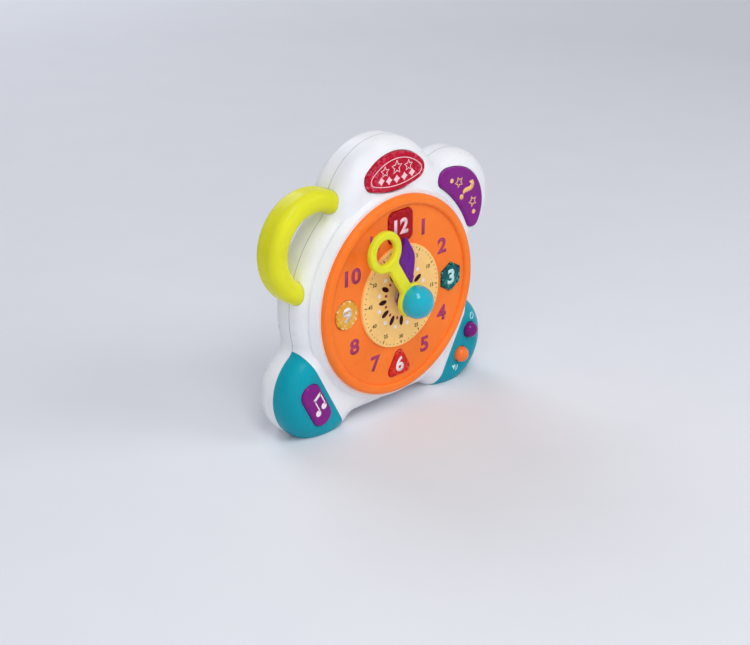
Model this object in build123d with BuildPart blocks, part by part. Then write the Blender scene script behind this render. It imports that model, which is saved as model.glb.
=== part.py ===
"""Toy clock with geared hands, push keys, a carry handle and a battery bay.

Millimetres. The floor is z = 0, the dial faces -Y and its axis lies above x = 0.
Depths are counted backwards from the front of the dial lip.
"""

import os
from math import acos, cos, pi, radians, sin, tan

from build123d import *

os.makedirs("parts", exist_ok=True)

# Stance
axis_height = 89.0
knob_reach = 27.0

# Fits
running_gap = 0.05
seat_gap = 0.03
key_gap = 0.4
seam_gap = 0.1
stop_gap = 0.25
switch_gap = 0.3

# Dial dish
lip_radius = 73.3
lip_width = 7.3
lip_outer_round = 3.2
lip_inner_round = 2.2
floor_depth = 2.4
floor_thickness = 2.5
skirt_inset = 4.6
skirt_thickness = 2.4
skirt_gap = 0.3
hook_reach = 1.5
hook_width = 9.0
hook_depth = 1.6
hook_count = 6
hook_angle = 15.0
seat_depth = 4.6
seat_margin = 2.5
seat_angle = 30.0
lip_inner = lip_radius - lip_width
skirt_radius = lip_radius - skirt_inset

# Motion train
module_share = 0.010914
pinion_teeth = 12
drive_wheel_teeth = 36
hour_wheel_teeth = 48
pressure_angle = 25.0
addendum = 0.8
dedendum = 1.1
backlash = 0.2
train_angle = 45.0
arbor_radius = 2.4
pivot_radius = 1.8
pinion_collar_gap = 0.66
pipe_radius = 4.6
bush_radius = 9.0
bush_depth = 8.0
stud_radius = 1.5
stud_collar = 1.8
gear_play = 0.3
hour_gear_width = 4.0
layer_gap = 1.7
drive_gear_width = 4.0
bridge_lift = 1.5
bridge_thickness = 2.0
bridge_rim = 5.0
post_radius = 3.0
bridge_out = 10.3
bridge_left_angle = -28.0
bridge_right_angle = 118.0
bridge_low_out = 3.8
bridge_low_angle = 225.0
train_ratio = drive_wheel_teeth / pinion_teeth * hour_wheel_teeth / pinion_teeth
drive_module = lip_radius * module_share
centre_distance = (pinion_teeth + drive_wheel_teeth) * drive_module / 2
hour_module = 2 * centre_distance / (pinion_teeth + hour_wheel_teeth)
drive_wheel_tip = drive_wheel_teeth * drive_module / 2 + addendum * drive_module
pinion_collar = centre_distance - drive_wheel_tip - pinion_collar_gap
bridge_reach = centre_distance + bridge_out
bridge_low_reach = centre_distance + bridge_low_out

# Number keys in the dish
tile_margin = 14.3
tile_proud = 1.2
tile_edge = 0.5
tile_travel = 1.2
tile_flange = 1.5
tile_flange_thickness = 1.3
tile_stem_radius = 1.5
tile_stem_length = 3.1
tile_stem_spread = 6.0
square_side = 23.4
square_round = 5.0
hexagon_radius = 10.9
triangle_radius = 15.5
triangle_round = 4.2
triangle_drop = 1.5
six_stem_drop = 3.9
round_tile_radius = 10.4
tile_reach = lip_inner - tile_margin

# Yellow disc on the dish floor
disc_face_clear = 2.0
disc_face_thickness = 2.1
disc_face_round = 0.9
disc_face_hole = 6.5
disc_face_radius = tile_reach - square_side / 2 - disc_face_clear

# Hands
minute_angle = -32.3
hour_angle = minute_angle / train_ratio
minute_top = 12.2
minute_thickness = 3.8
minute_hub = 12.4
minute_arm = 9.6
minute_length = 50.5
ring_outer = 15.0
ring_inner = 9.1
minute_round = 1.7
arm_blend = 4.0
hour_top = 6.8
hour_thickness = 3.6
hour_hub = 8.5
hour_length = 45.5
hour_wide = 8.6
hour_wide_share = 0.68
hour_narrow = 3.2
hour_round = 1.2
hour_side_round = 16.0
hour_tip_round = 1.6
hour_wide_at = hour_length * hour_wide_share
knob_radius = 12.0
knob_socket = 3.0

# Mode keys
clock_key_radius = 38.0
clock_key_sink = 10.3
clock_key_round = 8.0
clock_base_radius = 70.0
clock_margin = 3.0
quiz_key_radius = 31.0
quiz_key_sink = 5.7
quiz_key_round = 6.0
quiz_margin = 8.0
quiz_angle = 50.3
mode_face_depth = 6.0
mode_edge = 2.0
key_flange = 1.6
key_flange_thickness = 1.5
key_stem_radius = 3.0
key_stem_spread = 15.0
key_travel = 1.5
key_wall = 2.2
clock_inner = lip_radius + clock_margin
quiz_inner = lip_radius + quiz_margin

# Body mouldings, set out round the dish and the mode keys
wall = 2.4
face_depth = 8.0
parting_depth = 26.0
edge_round = 14.0
disc_margin = 9.7
lobe_radius = 51.0
lobe_margin = 8.0
ear_margin = 6.0
ear_out = 2.52
ear_angle = 52.4
arch_rise = 5.0
arch_inset = 18.0
valley_round = 9.0
disc_radius = lip_radius + disc_margin
lobe_height = clock_inner - clock_key_sink + clock_key_radius + lobe_margin - lobe_radius
ear_radius = quiz_key_radius + ear_margin
ear_x = (quiz_inner + ear_out) * sin(radians(ear_angle))
ear_height = (quiz_inner + ear_out) * cos(radians(ear_angle))
half_width = ear_x + ear_radius

# Feet and their seams
foot_radius = 36.0
foot_inset = 4.4
foot_cut = 6.0
seam_clear = 0.2
seam_rise = 2.7
seam_angle = 28.5
seam_reach = 90.0
foot_x = half_width - foot_inset - foot_radius
foot_drop = axis_height - foot_radius + foot_cut
seam_line = disc_radius + seam_clear
seam_lean = radians(seam_angle)
seam_back = foot_drop * cos(seam_lean) - foot_x * sin(seam_lean) - seam_rise
seam_x = seam_line * cos(seam_lean) - seam_back * sin(seam_lean)
seam_drop = seam_line * sin(seam_lean) + seam_back * cos(seam_lean)
arch_half = foot_x - arch_inset

# Foot keys
dome_radius = 6.0
dome_proud = 6.4
dome_out = 12.2
upper_dome_along = 11.6
lower_dome_along = -7.8
foot_key_out = 12.5
foot_key_width = 17.0
foot_key_length = 36.0
foot_key_round = 8.0
foot_stem_spread = 10.0

# Key boards and switches
board_depth = 21.0
board_thickness = 1.6
foot_board_width = 16.0
foot_board_length = 38.0
foot_board_out = 12.4
mode_board_width = 15.0
mode_board_length = 46.0
mode_board_out = 11.0
switch_side = 6.0
switch_height = 1.5
board_post_radius = 2.5
board_pip_radius = 1.2
board_pip_length = 2.2
mode_post_margin = 3.0
foot_post_margin = 2.0
mode_post_spread = mode_board_length / 2 - mode_post_margin
foot_post_spread = foot_board_length / 2 - foot_post_margin

# Handle
handle_reach = 105.0
handle_radius = 41.0
handle_width = 16.0
handle_height = 47.0
handle_thickness = 22.0
handle_round = 7.0
handle_bury = 8.0
handle_gap = 0.15

# Dial board
board_inner_gap = 3.26
board_outer_gap = 2.3
dial_board_depth = 13.0
dial_post_margin = 5.5
dial_post_count = 4
dial_post_angle = 45.0
lamp_radius = 2.0
lamp_height = 3.0
lamp_round = 1.5
board_inner = centre_distance + drive_wheel_tip + board_inner_gap
board_outer = skirt_radius - skirt_thickness - board_outer_gap
dial_post_reach = board_outer - dial_post_margin

# Screws
screw_radius = 1.45
screw_head_radius = 2.8
screw_head_height = 1.8
screw_bite = 9.0
screw_seat = 5.0
screw_socket_gap = 0.5
cross_length = 2.6
cross_width = 0.6
cross_depth = 0.9
boss_radius = 3.8
socket_wall = 1.4
small_screw_radius = 1.2
small_head_radius = 2.2
small_head_height = 1.4
small_screw_bite = 5.0
lobe_boss_out = 6.5
lobe_boss_angle = 28.6
side_boss_margin = 4.7
side_boss_angle = 100.3
foot_boss_along = -10.5
foot_boss_in = 7.9
cap_boss_along = -25.0
cap_boss_out = 8.5

# Battery bay for standard cells
cell_radius = 7.1
cell_length = 50.5
cell_gap = 1.4
cell_count = 3
cell_nub = 1.2
cell_nub_radius = 2.7
bay_drop = 36.5
bay_wall = 2.6
bay_depth_room = 1.6
bay_end_room = 3.8
bay_side_room = 0.9
bay_clear = 3.3
contact_thickness = 0.5
contact_width = 9.0
door_gap = 0.3
door_ledge = 1.3
door_tab_radius = 7.0
door_boss_radius = 4.0
door_screw_bite = 7.0
cell_pitch = 2 * cell_radius + cell_gap
bay_depth_inside = 2 * cell_radius + bay_depth_room

# Speaker
speaker_height = 40.0
speaker_radius = 20.0
speaker_rim = 2.0
cone_depth = 6.0
cone_thickness = 0.6
basket_angle = 50.0
magnet_radius = 9.0
magnet_depth = 5.0
speaker_ring_wall = 1.6
speaker_ring_depth = 4.0
grille_hole = 1.6
grille_pitch = 5.6
grille_rows = 3
grille_first_ring = 6

# Depths of the train, and the whole depth that it and the bay need
hour_gear_front = bush_depth + gear_play
hour_gear_back = hour_gear_front + hour_gear_width
drive_gear_front = hour_gear_back + layer_gap
drive_gear_back = drive_gear_front + drive_gear_width
bridge_front = drive_gear_back + bridge_lift
bridge_back = bridge_front + bridge_thickness
bay_front = bridge_back + small_head_height + bay_clear + bay_wall
rear_inside = bay_front + bay_depth_inside
body_depth = rear_inside + wall
rim_y = (knob_reach - body_depth) / 2


# Planes parallel to the dial
def front(depth):
    return Plane(origin=(0, rim_y + depth, axis_height), x_dir=(1, 0, 0), z_dir=(0, -1, 0))


def turned(depth, clock_turn):
    turn = radians(clock_turn)
    centre = (0, rim_y + depth, axis_height)
    return Plane(origin=centre, x_dir=(cos(turn), 0, -sin(turn)), z_dir=(0, -1, 0))


def foot(depth, side):
    turn = radians(side * seam_angle)
    corner = (side * seam_x, rim_y + depth, axis_height - seam_drop)
    return Plane(origin=corner, x_dir=(cos(turn), 0, -sin(turn)), z_dir=(0, -1, 0))


def seam_point(side, along, out):
    turn = radians(seam_angle)
    across = seam_x + along * sin(turn) + out * cos(turn)
    return (side * across, -seam_drop + along * cos(turn) - out * sin(turn))


def turned_point(across, up, clock_turn):
    turn = radians(clock_turn)
    return (across * cos(turn) + up * sin(turn), up * cos(turn) - across * sin(turn))


def clock_point(reach, clock_turn):
    return turned_point(0, reach, clock_turn)


# Outline of the body seen from the front
def body_outline(inset):
    with BuildSketch() as outline:
        Circle(disc_radius)
        with Locations((0, lobe_height)):
            Circle(lobe_radius)
        with Locations((ear_x, ear_height)):
            Circle(ear_radius)
        with Locations((foot_x, -foot_drop), (-foot_x, -foot_drop)):
            Circle(foot_radius)
        with Locations((0, -axis_height + arch_rise)):
            Rectangle(2 * arch_half, axis_height - arch_rise, align=(Align.CENTER, Align.MIN))
        offset(amount=valley_round)
        offset(amount=-valley_round - inset)
    return outline.sketch


def clock_key_outline(grow):
    with BuildSketch() as outline:
        with Locations((0, clock_inner - clock_key_sink)):
            Circle(clock_key_radius)
        with Locations((0, clock_inner + clock_base_radius)):
            Circle(clock_base_radius, mode=Mode.INTERSECT)
        fillet(outline.vertices(), clock_key_round)
        if grow:
            offset(amount=grow)
    return outline.sketch


def quiz_key_outline(grow):
    with BuildSketch() as outline:
        with Locations((0, quiz_inner - quiz_key_sink)):
            Circle(quiz_key_radius)
        Circle(quiz_inner, mode=Mode.SUBTRACT)
        fillet(outline.vertices(), quiz_key_round)
        if grow:
            offset(amount=grow)
    return outline.sketch


def square_outline(grow):
    with BuildSketch() as outline:
        with Locations((0, tile_reach)):
            RectangleRounded(square_side + 2 * grow, square_side + 2 * grow, square_round + grow)
    return outline.sketch


def hexagon_outline(grow):
    with BuildSketch() as outline:
        with Locations((tile_reach, 0)):
            RegularPolygon(hexagon_radius + grow, 6, rotation=30)
    return outline.sketch


def triangle_outline(grow):
    with BuildSketch() as outline:
        with Locations((0, -tile_reach - triangle_drop)):
            RegularPolygon(triangle_radius, 3, rotation=90)
        fillet(outline.vertices(), triangle_round)
        if grow:
            offset(amount=grow)
    return outline.sketch


def round_outline(grow):
    with BuildSketch() as outline:
        with Locations((-tile_reach, 0)):
            Circle(round_tile_radius + grow)
    return outline.sketch


def foot_key_outline(grow):
    with BuildSketch() as outline:
        with Locations((-foot_key_out, 0)):
            width = foot_key_width + 2 * grow
            RectangleRounded(width, foot_key_length + 2 * grow, foot_key_round + grow)
    return outline.sketch


def handle_outline(grow):
    with BuildSketch() as outline:
        with Locations((handle_radius - handle_reach, handle_height)):
            Circle(handle_radius + grow)
            Circle(handle_radius - handle_width - grow, mode=Mode.SUBTRACT)
        add(body_outline(handle_bury + grow), mode=Mode.SUBTRACT)
    return outline.sketch


# Gear outline with involute flanks
def gear_outline(teeth, module, tooth_turn):
    pitch = teeth * module / 2
    base = pitch * cos(radians(pressure_angle))
    tip = pitch + addendum * module
    root = pitch - dedendum * module
    start = max(base, root)
    rise = tan(radians(pressure_angle)) - radians(pressure_angle)
    half_tooth = pi / (2 * teeth) - backlash / (4 * pitch)

    def flank(radius, centre, side):
        lean = acos(base / radius)
        spread = half_tooth + rise - (tan(lean) - lean)
        return (radius * cos(centre + side * spread), radius * sin(centre + side * spread))

    def inner(radius, angle):
        return (radius * cos(angle), radius * sin(angle))

    with BuildSketch() as outline:
        with BuildLine():
            for tooth in range(teeth):
                centre = radians(90 - tooth_turn) + tooth * 2 * pi / teeth
                after = centre + pi / teeth
                spread = half_tooth + rise - (tan(acos(base / start)) - acos(base / start))
                middle = (start + tip) / 2
                first = flank(start, centre, -1)
                rising = ThreePointArc(first, flank(middle, centre, -1), flank(tip, centre, -1))
                top = Line(rising @ 1, flank(tip, centre, 1))
                falling = ThreePointArc(top @ 1, flank(middle, centre, 1), flank(start, centre, 1))
                low = inner(root, centre + spread)
                far = inner(root, centre + 2 * pi / teeth - spread)
                bottom = ThreePointArc(low, inner(root, after), far)
                if base > root:
                    Line(falling @ 1, low)
                    Line(bottom @ 1, flank(start, centre + 2 * pi / teeth, -1))
        make_face()
    return outline.sketch


# Derived sizes
floor_under = floor_depth + floor_thickness
stud_front = floor_under - floor_thickness / 2
stud_spot = clock_point(centre_distance, train_angle)
bridge_left = clock_point(bridge_reach, bridge_left_angle)
bridge_right = clock_point(bridge_reach, bridge_right_angle)
bridge_low = clock_point(bridge_low_reach, bridge_low_angle)
bridge_posts = [bridge_left, bridge_right, bridge_low]
lobe_boss = clock_point(skirt_radius + lobe_boss_out, lobe_boss_angle)
side_boss = clock_point(disc_radius - side_boss_margin, side_boss_angle)
foot_boss = seam_point(1, foot_boss_along, -foot_boss_in)
boss_spots = [(s * spot[0], spot[1]) for spot in (lobe_boss, side_boss, foot_boss) for s in (-1, 1)]
cap_boss_spots = [seam_point(s, cap_boss_along, cap_boss_out) for s in (-1, 1)]
lobe_board_up = clock_inner + mode_board_out
ear_board_up = quiz_inner + mode_board_out
board_spots = [turned_point(s * mode_post_spread, lobe_board_up, 0) for s in (-1, 1)]
board_spots += [turned_point(s * mode_post_spread, ear_board_up, quiz_angle) for s in (-1, 1)]
board_spots += [seam_point(1, s * foot_post_spread, foot_board_out) for s in (-1, 1)]
board_spots += [seam_point(-1, s * foot_post_spread, foot_board_out) for s in (-1, 1)]
face_inside = face_depth + wall
hook_back = face_inside + stop_gap + hook_depth
screw_top = parting_depth - screw_bite
screw_head_under = parting_depth + screw_seat
screw_head_back = screw_head_under + screw_head_height
key_flange_front = face_inside + stop_gap
key_flange_back = key_flange_front + key_flange_thickness
switch_depth = board_depth - switch_height
board_back = board_depth + board_thickness
dial_board_back = dial_board_depth + board_thickness
dome_centre_depth = face_depth - dome_proud + dome_radius
key_stem_back = switch_depth - key_travel - switch_gap
tile_flange_front = floor_under + stop_gap
tile_flange_back = tile_flange_front + tile_flange_thickness
tile_stem_back = tile_flange_back + tile_stem_length
tile_switch_front = tile_stem_back + tile_travel + switch_gap
six_stem_height = -tile_reach - six_stem_drop
tile_stem_spots = [(s * tile_stem_spread, tile_reach) for s in (-1, 1)]
tile_stem_spots += [(s * tile_stem_spread, six_stem_height) for s in (-1, 1)]
tile_stem_spots += [(r * tile_reach, s * tile_stem_spread) for r in (-1, 1) for s in (-1, 1)]
bay_width = cell_length + 2 * bay_end_room
bay_tall = cell_count * cell_pitch + 2 * bay_side_room
door_lap = door_ledge - door_gap
door_tab_drop = bay_drop - bay_tall / 2 - door_ledge - door_tab_radius / 2
cell_depth = rear_inside - bay_depth_inside / 2
bay_low = axis_height - bay_drop - (cell_count - 1) / 2 * cell_pitch

# Front half of the body as a solid, with the feet still on it
with BuildPart() as front_block:
    with BuildSketch(front(parting_depth)):
        add(body_outline(0))
    extrude(amount=parting_depth - face_depth)
    fillet(front_block.faces().sort_by(Axis.Y)[0].edges(), edge_round)
    seat_rise = face_depth + wall - seat_depth
    with BuildSketch(front(face_depth + wall)):
        Circle(lip_radius + seat_margin + seat_rise * tan(radians(seat_angle)))
    extrude(amount=seat_rise, taper=seat_angle)
    split(bisect_by=Plane.XY, keep=Keep.TOP)

# Hollow of the front half
with BuildPart() as front_core:
    with BuildSketch(front(parting_depth)):
        add(body_outline(wall))
    extrude(amount=parting_depth - face_inside)
    fillet(front_core.faces().sort_by(Axis.Y)[0].edges(), edge_round - wall)
    split(bisect_by=Plane.XY.offset(wall), keep=Keep.TOP)

# Bosses in the front half
with BuildPart() as front_bosses:
    with BuildSketch(front(parting_depth)):
        with Locations(*boss_spots):
            Circle(boss_radius)
    extrude(amount=parting_depth)
    add(front_block.part, mode=Mode.INTERSECT)

# Room for the handle ends in both shells
with BuildPart() as handle_room:
    with BuildSketch(front(parting_depth + handle_thickness / 2 + handle_gap)):
        add(handle_outline(handle_gap))
    extrude(amount=handle_thickness + 2 * handle_gap)
    room_outer = handle_radius + handle_gap
    room_inner = handle_radius - handle_width - handle_gap
    room_rims = handle_room.faces().filter_by(Axis.Y).edges().filter_by(GeomType.CIRCLE)
    outer_rims = room_rims.filter_by(lambda e: abs(e.radius - room_outer) < handle_gap)
    inner_rims = room_rims.filter_by(lambda e: abs(e.radius - room_inner) < handle_gap)
    fillet(outer_rims + inner_rims, handle_round)

# Room inside the front for key flanges, clear of the wall all round
with BuildPart() as key_space:
    with BuildSketch(front(parting_depth)):
        add(body_outline(wall + key_gap))
    extrude(amount=parting_depth - face_inside - stop_gap)
    fillet(key_space.faces().sort_by(Axis.Y)[0].edges(), edge_round - wall - key_gap)
    split(bisect_by=Plane.XY.offset(wall + key_gap), keep=Keep.TOP)

# Hollow of the white front between the two foot seams
with BuildPart() as white_core:
    add(front_core.part)
    for side in (-1, 1):
        with BuildSketch(foot(body_depth, side)):
            with Locations((side * (seam_reach / 2 - wall), 0)):
                Rectangle(seam_reach, 2 * seam_reach)
        extrude(amount=2 * body_depth, mode=Mode.SUBTRACT)

# White front shell
with BuildPart() as front_shell:
    add(front_block.part)
    for side in (-1, 1):
        with BuildSketch(foot(body_depth, side)):
            with Locations((side * seam_reach / 2, 0)):
                Rectangle(seam_reach, 2 * seam_reach)
        extrude(amount=2 * body_depth, mode=Mode.SUBTRACT)
    add(white_core.part, mode=Mode.SUBTRACT)
    add(front_bosses.part)
    with BuildSketch(front(parting_depth)):
        Circle(skirt_radius + skirt_gap)
    extrude(amount=parting_depth, mode=Mode.SUBTRACT)
    with BuildSketch(front(parting_depth)):
        with Locations(*boss_spots):
            Circle(screw_radius + running_gap)
    extrude(amount=screw_bite + stop_gap, mode=Mode.SUBTRACT)
    with BuildSketch(turned(parting_depth, 0)):
        add(clock_key_outline(key_gap))
    extrude(amount=parting_depth, mode=Mode.SUBTRACT)
    with BuildSketch(turned(parting_depth, quiz_angle)):
        add(quiz_key_outline(key_gap))
    extrude(amount=parting_depth, mode=Mode.SUBTRACT)
    add(handle_room.part, mode=Mode.SUBTRACT)
front_shell.part.label = "front_shell"
export_step(front_shell.part, "parts/front_shell.step")

# Teal foot caps, each a hollow moulding with one boss
with BuildPart() as right_core:
    add(front_core.part)
    with BuildSketch(foot(body_depth, 1)):
        with Locations((seam_reach / 2 + wall + seam_gap, 0)):
            Rectangle(seam_reach, 2 * seam_reach)
    extrude(amount=2 * body_depth, mode=Mode.INTERSECT)

with BuildPart() as right_boss:
    with BuildSketch(front(parting_depth)):
        with Locations(cap_boss_spots[1]):
            Circle(boss_radius)
    extrude(amount=parting_depth)
    add(front_block.part, mode=Mode.INTERSECT)

with BuildPart() as foot_cap_right:
    add(front_block.part)
    with BuildSketch(foot(body_depth, 1)):
        with Locations((seam_reach / 2 + seam_gap, 0)):
            Rectangle(seam_reach, 2 * seam_reach)
    extrude(amount=2 * body_depth, mode=Mode.INTERSECT)
    add(right_core.part, mode=Mode.SUBTRACT)
    add(right_boss.part)
    with BuildSketch(front(parting_depth)):
        with Locations(cap_boss_spots[1]):
            Circle(screw_radius + running_gap)
    extrude(amount=screw_bite + stop_gap, mode=Mode.SUBTRACT)
    with BuildSketch(foot(parting_depth, 1)):
        with Locations((dome_out, upper_dome_along), (dome_out, lower_dome_along)):
            Circle(dome_radius + key_gap)
    extrude(amount=parting_depth, mode=Mode.SUBTRACT)
foot_cap_right.part.label = "foot_cap_right"
export_step(foot_cap_right.part, "parts/foot_cap_right.step")

with BuildPart() as left_core:
    add(front_core.part)
    with BuildSketch(foot(body_depth, -1)):
        with Locations((-seam_reach / 2 - wall - seam_gap, 0)):
            Rectangle(seam_reach, 2 * seam_reach)
    extrude(amount=2 * body_depth, mode=Mode.INTERSECT)

with BuildPart() as left_boss:
    with BuildSketch(front(parting_depth)):
        with Locations(cap_boss_spots[0]):
            Circle(boss_radius)
    extrude(amount=parting_depth)
    add(front_block.part, mode=Mode.INTERSECT)

with BuildPart() as foot_cap_left:
    add(front_block.part)
    with BuildSketch(foot(body_depth, -1)):
        with Locations((-seam_reach / 2 - seam_gap, 0)):
            Rectangle(seam_reach, 2 * seam_reach)
    extrude(amount=2 * body_depth, mode=Mode.INTERSECT)
    add(left_core.part, mode=Mode.SUBTRACT)
    add(left_boss.part)
    with BuildSketch(front(parting_depth)):
        with Locations(cap_boss_spots[0]):
            Circle(screw_radius + running_gap)
    extrude(amount=screw_bite + stop_gap, mode=Mode.SUBTRACT)
    with BuildSketch(foot(parting_depth, -1)):
        add(foot_key_outline(key_gap))
    extrude(amount=parting_depth, mode=Mode.SUBTRACT)
foot_cap_left.part.label = "foot_cap_left"
export_step(foot_cap_left.part, "parts/foot_cap_left.step")

# Yellow carry handle, its ends caught between the shells
with BuildPart() as carry_handle:
    with BuildSketch(front(parting_depth + handle_thickness / 2)):
        add(handle_outline(0))
    extrude(amount=handle_thickness)
    handle_inner = handle_radius - handle_width
    handle_rims = carry_handle.faces().filter_by(Axis.Y).edges().filter_by(GeomType.CIRCLE)
    outer_rims = handle_rims.filter_by(lambda e: abs(e.radius - handle_radius) < handle_gap)
    inner_rims = handle_rims.filter_by(lambda e: abs(e.radius - handle_inner) < handle_gap)
    fillet(outer_rims + inner_rims, handle_round)
carry_handle.part.label = "carry_handle"
export_step(carry_handle.part, "parts/carry_handle.step")

# Rear half of the body as a solid, and its hollow
with BuildPart() as rear_block:
    with BuildSketch(front(body_depth)):
        add(body_outline(0))
    extrude(amount=body_depth - parting_depth)
    fillet(rear_block.faces().sort_by(Axis.Y)[-1].edges(), edge_round)
    split(bisect_by=Plane.XY, keep=Keep.TOP)

with BuildPart() as rear_core:
    with BuildSketch(front(rear_inside)):
        add(body_outline(wall))
    extrude(amount=rear_inside - parting_depth)
    fillet(rear_core.faces().sort_by(Axis.Y)[-1].edges(), edge_round - wall)
    split(bisect_by=Plane.XY.offset(wall), keep=Keep.TOP)

with BuildPart() as rear_bosses:
    with BuildSketch(front(body_depth)):
        with Locations(*boss_spots, *cap_boss_spots):
            Circle(screw_head_radius + screw_socket_gap + socket_wall)
    extrude(amount=body_depth - parting_depth)
    add(rear_block.part, mode=Mode.INTERSECT)

# White rear shell with battery bay, speaker ring, grille and board posts
with BuildPart() as rear_shell:
    add(rear_block.part)
    add(rear_core.part, mode=Mode.SUBTRACT)
    add(rear_bosses.part)
    with BuildSketch(front(body_depth - wall / 2)):
        with Locations((0, -bay_drop)):
            Rectangle(bay_width + 2 * bay_wall, bay_tall + 2 * bay_wall)
    extrude(amount=body_depth - wall / 2 - bay_front + bay_wall)
    with BuildSketch(front(body_depth - wall / 2)):
        with Locations((0, -door_tab_drop)):
            Circle(door_tab_radius + bay_wall)
    extrude(amount=wall / 2 + bay_wall)
    with BuildSketch(front(rear_inside)):
        with Locations((0, -door_tab_drop)):
            Circle(door_boss_radius)
    extrude(amount=door_screw_bite + stop_gap + bay_wall)
    with BuildSketch(front(body_depth - wall / 2)):
        with Locations((0, speaker_height)):
            Circle(speaker_radius + seat_gap + speaker_ring_wall)
            Circle(speaker_radius + seat_gap, mode=Mode.SUBTRACT)
    extrude(amount=speaker_ring_depth + wall / 2)
    with BuildSketch(front(body_depth - wall / 2)):
        with Locations(*board_spots):
            Circle(board_post_radius)
    extrude(amount=body_depth - wall / 2 - board_back)
    with BuildSketch(front(board_back)):
        with Locations(*board_spots):
            Circle(board_pip_radius)
    extrude(amount=board_pip_length)
    with BuildSketch(front(body_depth)):
        with Locations((0, -bay_drop)):
            Rectangle(bay_width, bay_tall)
    extrude(amount=body_depth - bay_front, mode=Mode.SUBTRACT)
    with BuildSketch(front(body_depth)):
        with Locations((0, -bay_drop)):
            Rectangle(bay_width + 2 * door_ledge, bay_tall + 2 * door_ledge)
        with Locations((0, -door_tab_drop)):
            Circle(door_tab_radius)
    extrude(amount=wall, mode=Mode.SUBTRACT)
    with BuildSketch(front(rear_inside)):
        with Locations((0, -door_tab_drop)):
            Circle(small_screw_radius + running_gap)
    extrude(amount=door_screw_bite + stop_gap, mode=Mode.SUBTRACT)
    with BuildSketch(front(body_depth)):
        with Locations(*boss_spots, *cap_boss_spots):
            Circle(screw_head_radius + screw_socket_gap)
    extrude(amount=body_depth - screw_head_under, mode=Mode.SUBTRACT)
    with BuildSketch(front(body_depth)):
        with Locations(*boss_spots, *cap_boss_spots):
            Circle(screw_radius + running_gap)
    extrude(amount=body_depth - parting_depth, mode=Mode.SUBTRACT)
    with BuildSketch(front(body_depth)):
        with Locations((0, speaker_height)):
            Circle(grille_hole)
            for row in range(1, grille_rows):
                with PolarLocations(row * grille_pitch, grille_first_ring * row):
                    Circle(grille_hole)
    extrude(amount=wall, mode=Mode.SUBTRACT)
    add(handle_room.part, mode=Mode.SUBTRACT)
rear_shell.part.label = "rear_shell"
export_step(rear_shell.part, "parts/rear_shell.step")

# Orange dial dish with lip, skirt, snap hooks, centre bush and posts
with BuildPart() as dial_dish:
    with BuildSketch(front(seat_depth)):
        Circle(lip_radius)
        Circle(lip_inner, mode=Mode.SUBTRACT)
    extrude(amount=seat_depth)
    lip_edges = dial_dish.faces().sort_by(Axis.Y)[0].edges().sort_by(SortBy.RADIUS)
    fillet(lip_edges[-1], lip_outer_round)
    lip_edges = dial_dish.faces().sort_by(Axis.Y)[0].edges().sort_by(SortBy.RADIUS)
    fillet(lip_edges[0], lip_inner_round)
    with BuildSketch(front(floor_under)):
        Circle(skirt_radius)
    extrude(amount=floor_thickness)
    with BuildSketch(front(hook_back)):
        Circle(skirt_radius)
        Circle(skirt_radius - skirt_thickness, mode=Mode.SUBTRACT)
    extrude(amount=hook_back - floor_under)
    with BuildSketch(front(hook_back)):
        with PolarLocations(skirt_radius, hook_count, start_angle=hook_angle):
            Rectangle(2 * hook_reach, hook_width)
        Circle(skirt_radius - skirt_thickness / 2, mode=Mode.SUBTRACT)
    extrude(amount=hook_depth)
    with BuildSketch(front(bush_depth)):
        Circle(bush_radius)
    extrude(amount=bush_depth - floor_under)
    with BuildSketch(front(bush_depth)):
        with Locations(stud_spot):
            Circle(post_radius)
    extrude(amount=bush_depth - floor_under)
    with BuildSketch(front(bridge_front)):
        with Locations(*bridge_posts):
            Circle(post_radius)
    extrude(amount=bridge_front - floor_under)
    with BuildSketch(front(dial_board_depth)):
        with PolarLocations(dial_post_reach, dial_post_count, start_angle=dial_post_angle):
            Circle(post_radius)
    extrude(amount=dial_board_depth - floor_under)
    with BuildSketch(front(bush_depth)):
        Circle(pipe_radius + running_gap)
    extrude(amount=bush_depth, mode=Mode.SUBTRACT)
    with BuildSketch(front(bush_depth)):
        with Locations(stud_spot):
            Circle(stud_radius + seat_gap)
    extrude(amount=bush_depth - stud_front, mode=Mode.SUBTRACT)
    with BuildSketch(front(bridge_front)):
        with Locations(*bridge_posts):
            Circle(small_screw_radius + running_gap)
    extrude(amount=small_screw_bite + stop_gap, mode=Mode.SUBTRACT)
    with BuildSketch(front(dial_board_depth)):
        with PolarLocations(dial_post_reach, dial_post_count, start_angle=dial_post_angle):
            Circle(small_screw_radius + running_gap)
    extrude(amount=small_screw_bite + stop_gap, mode=Mode.SUBTRACT)
    with BuildSketch(front(floor_under)):
        add(square_outline(key_gap))
        add(hexagon_outline(key_gap))
        add(triangle_outline(key_gap))
        add(round_outline(key_gap))
    extrude(amount=floor_under, mode=Mode.SUBTRACT)
dial_dish.part.label = "dial_dish"
export_step(dial_dish.part, "parts/dial_dish.step")

# Yellow disc on the dish floor
with BuildPart() as dial_disc:
    with BuildSketch(front(floor_depth)):
        Circle(disc_face_radius)
        Circle(disc_face_hole, mode=Mode.SUBTRACT)
    extrude(amount=disc_face_thickness)
    disc_rims = dial_disc.faces().sort_by(Axis.Y)[0].edges().sort_by(SortBy.RADIUS)
    fillet(disc_rims[-1], disc_face_round)
dial_disc.part.label = "dial_disc"
export_step(dial_disc.part, "parts/dial_disc.step")

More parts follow.
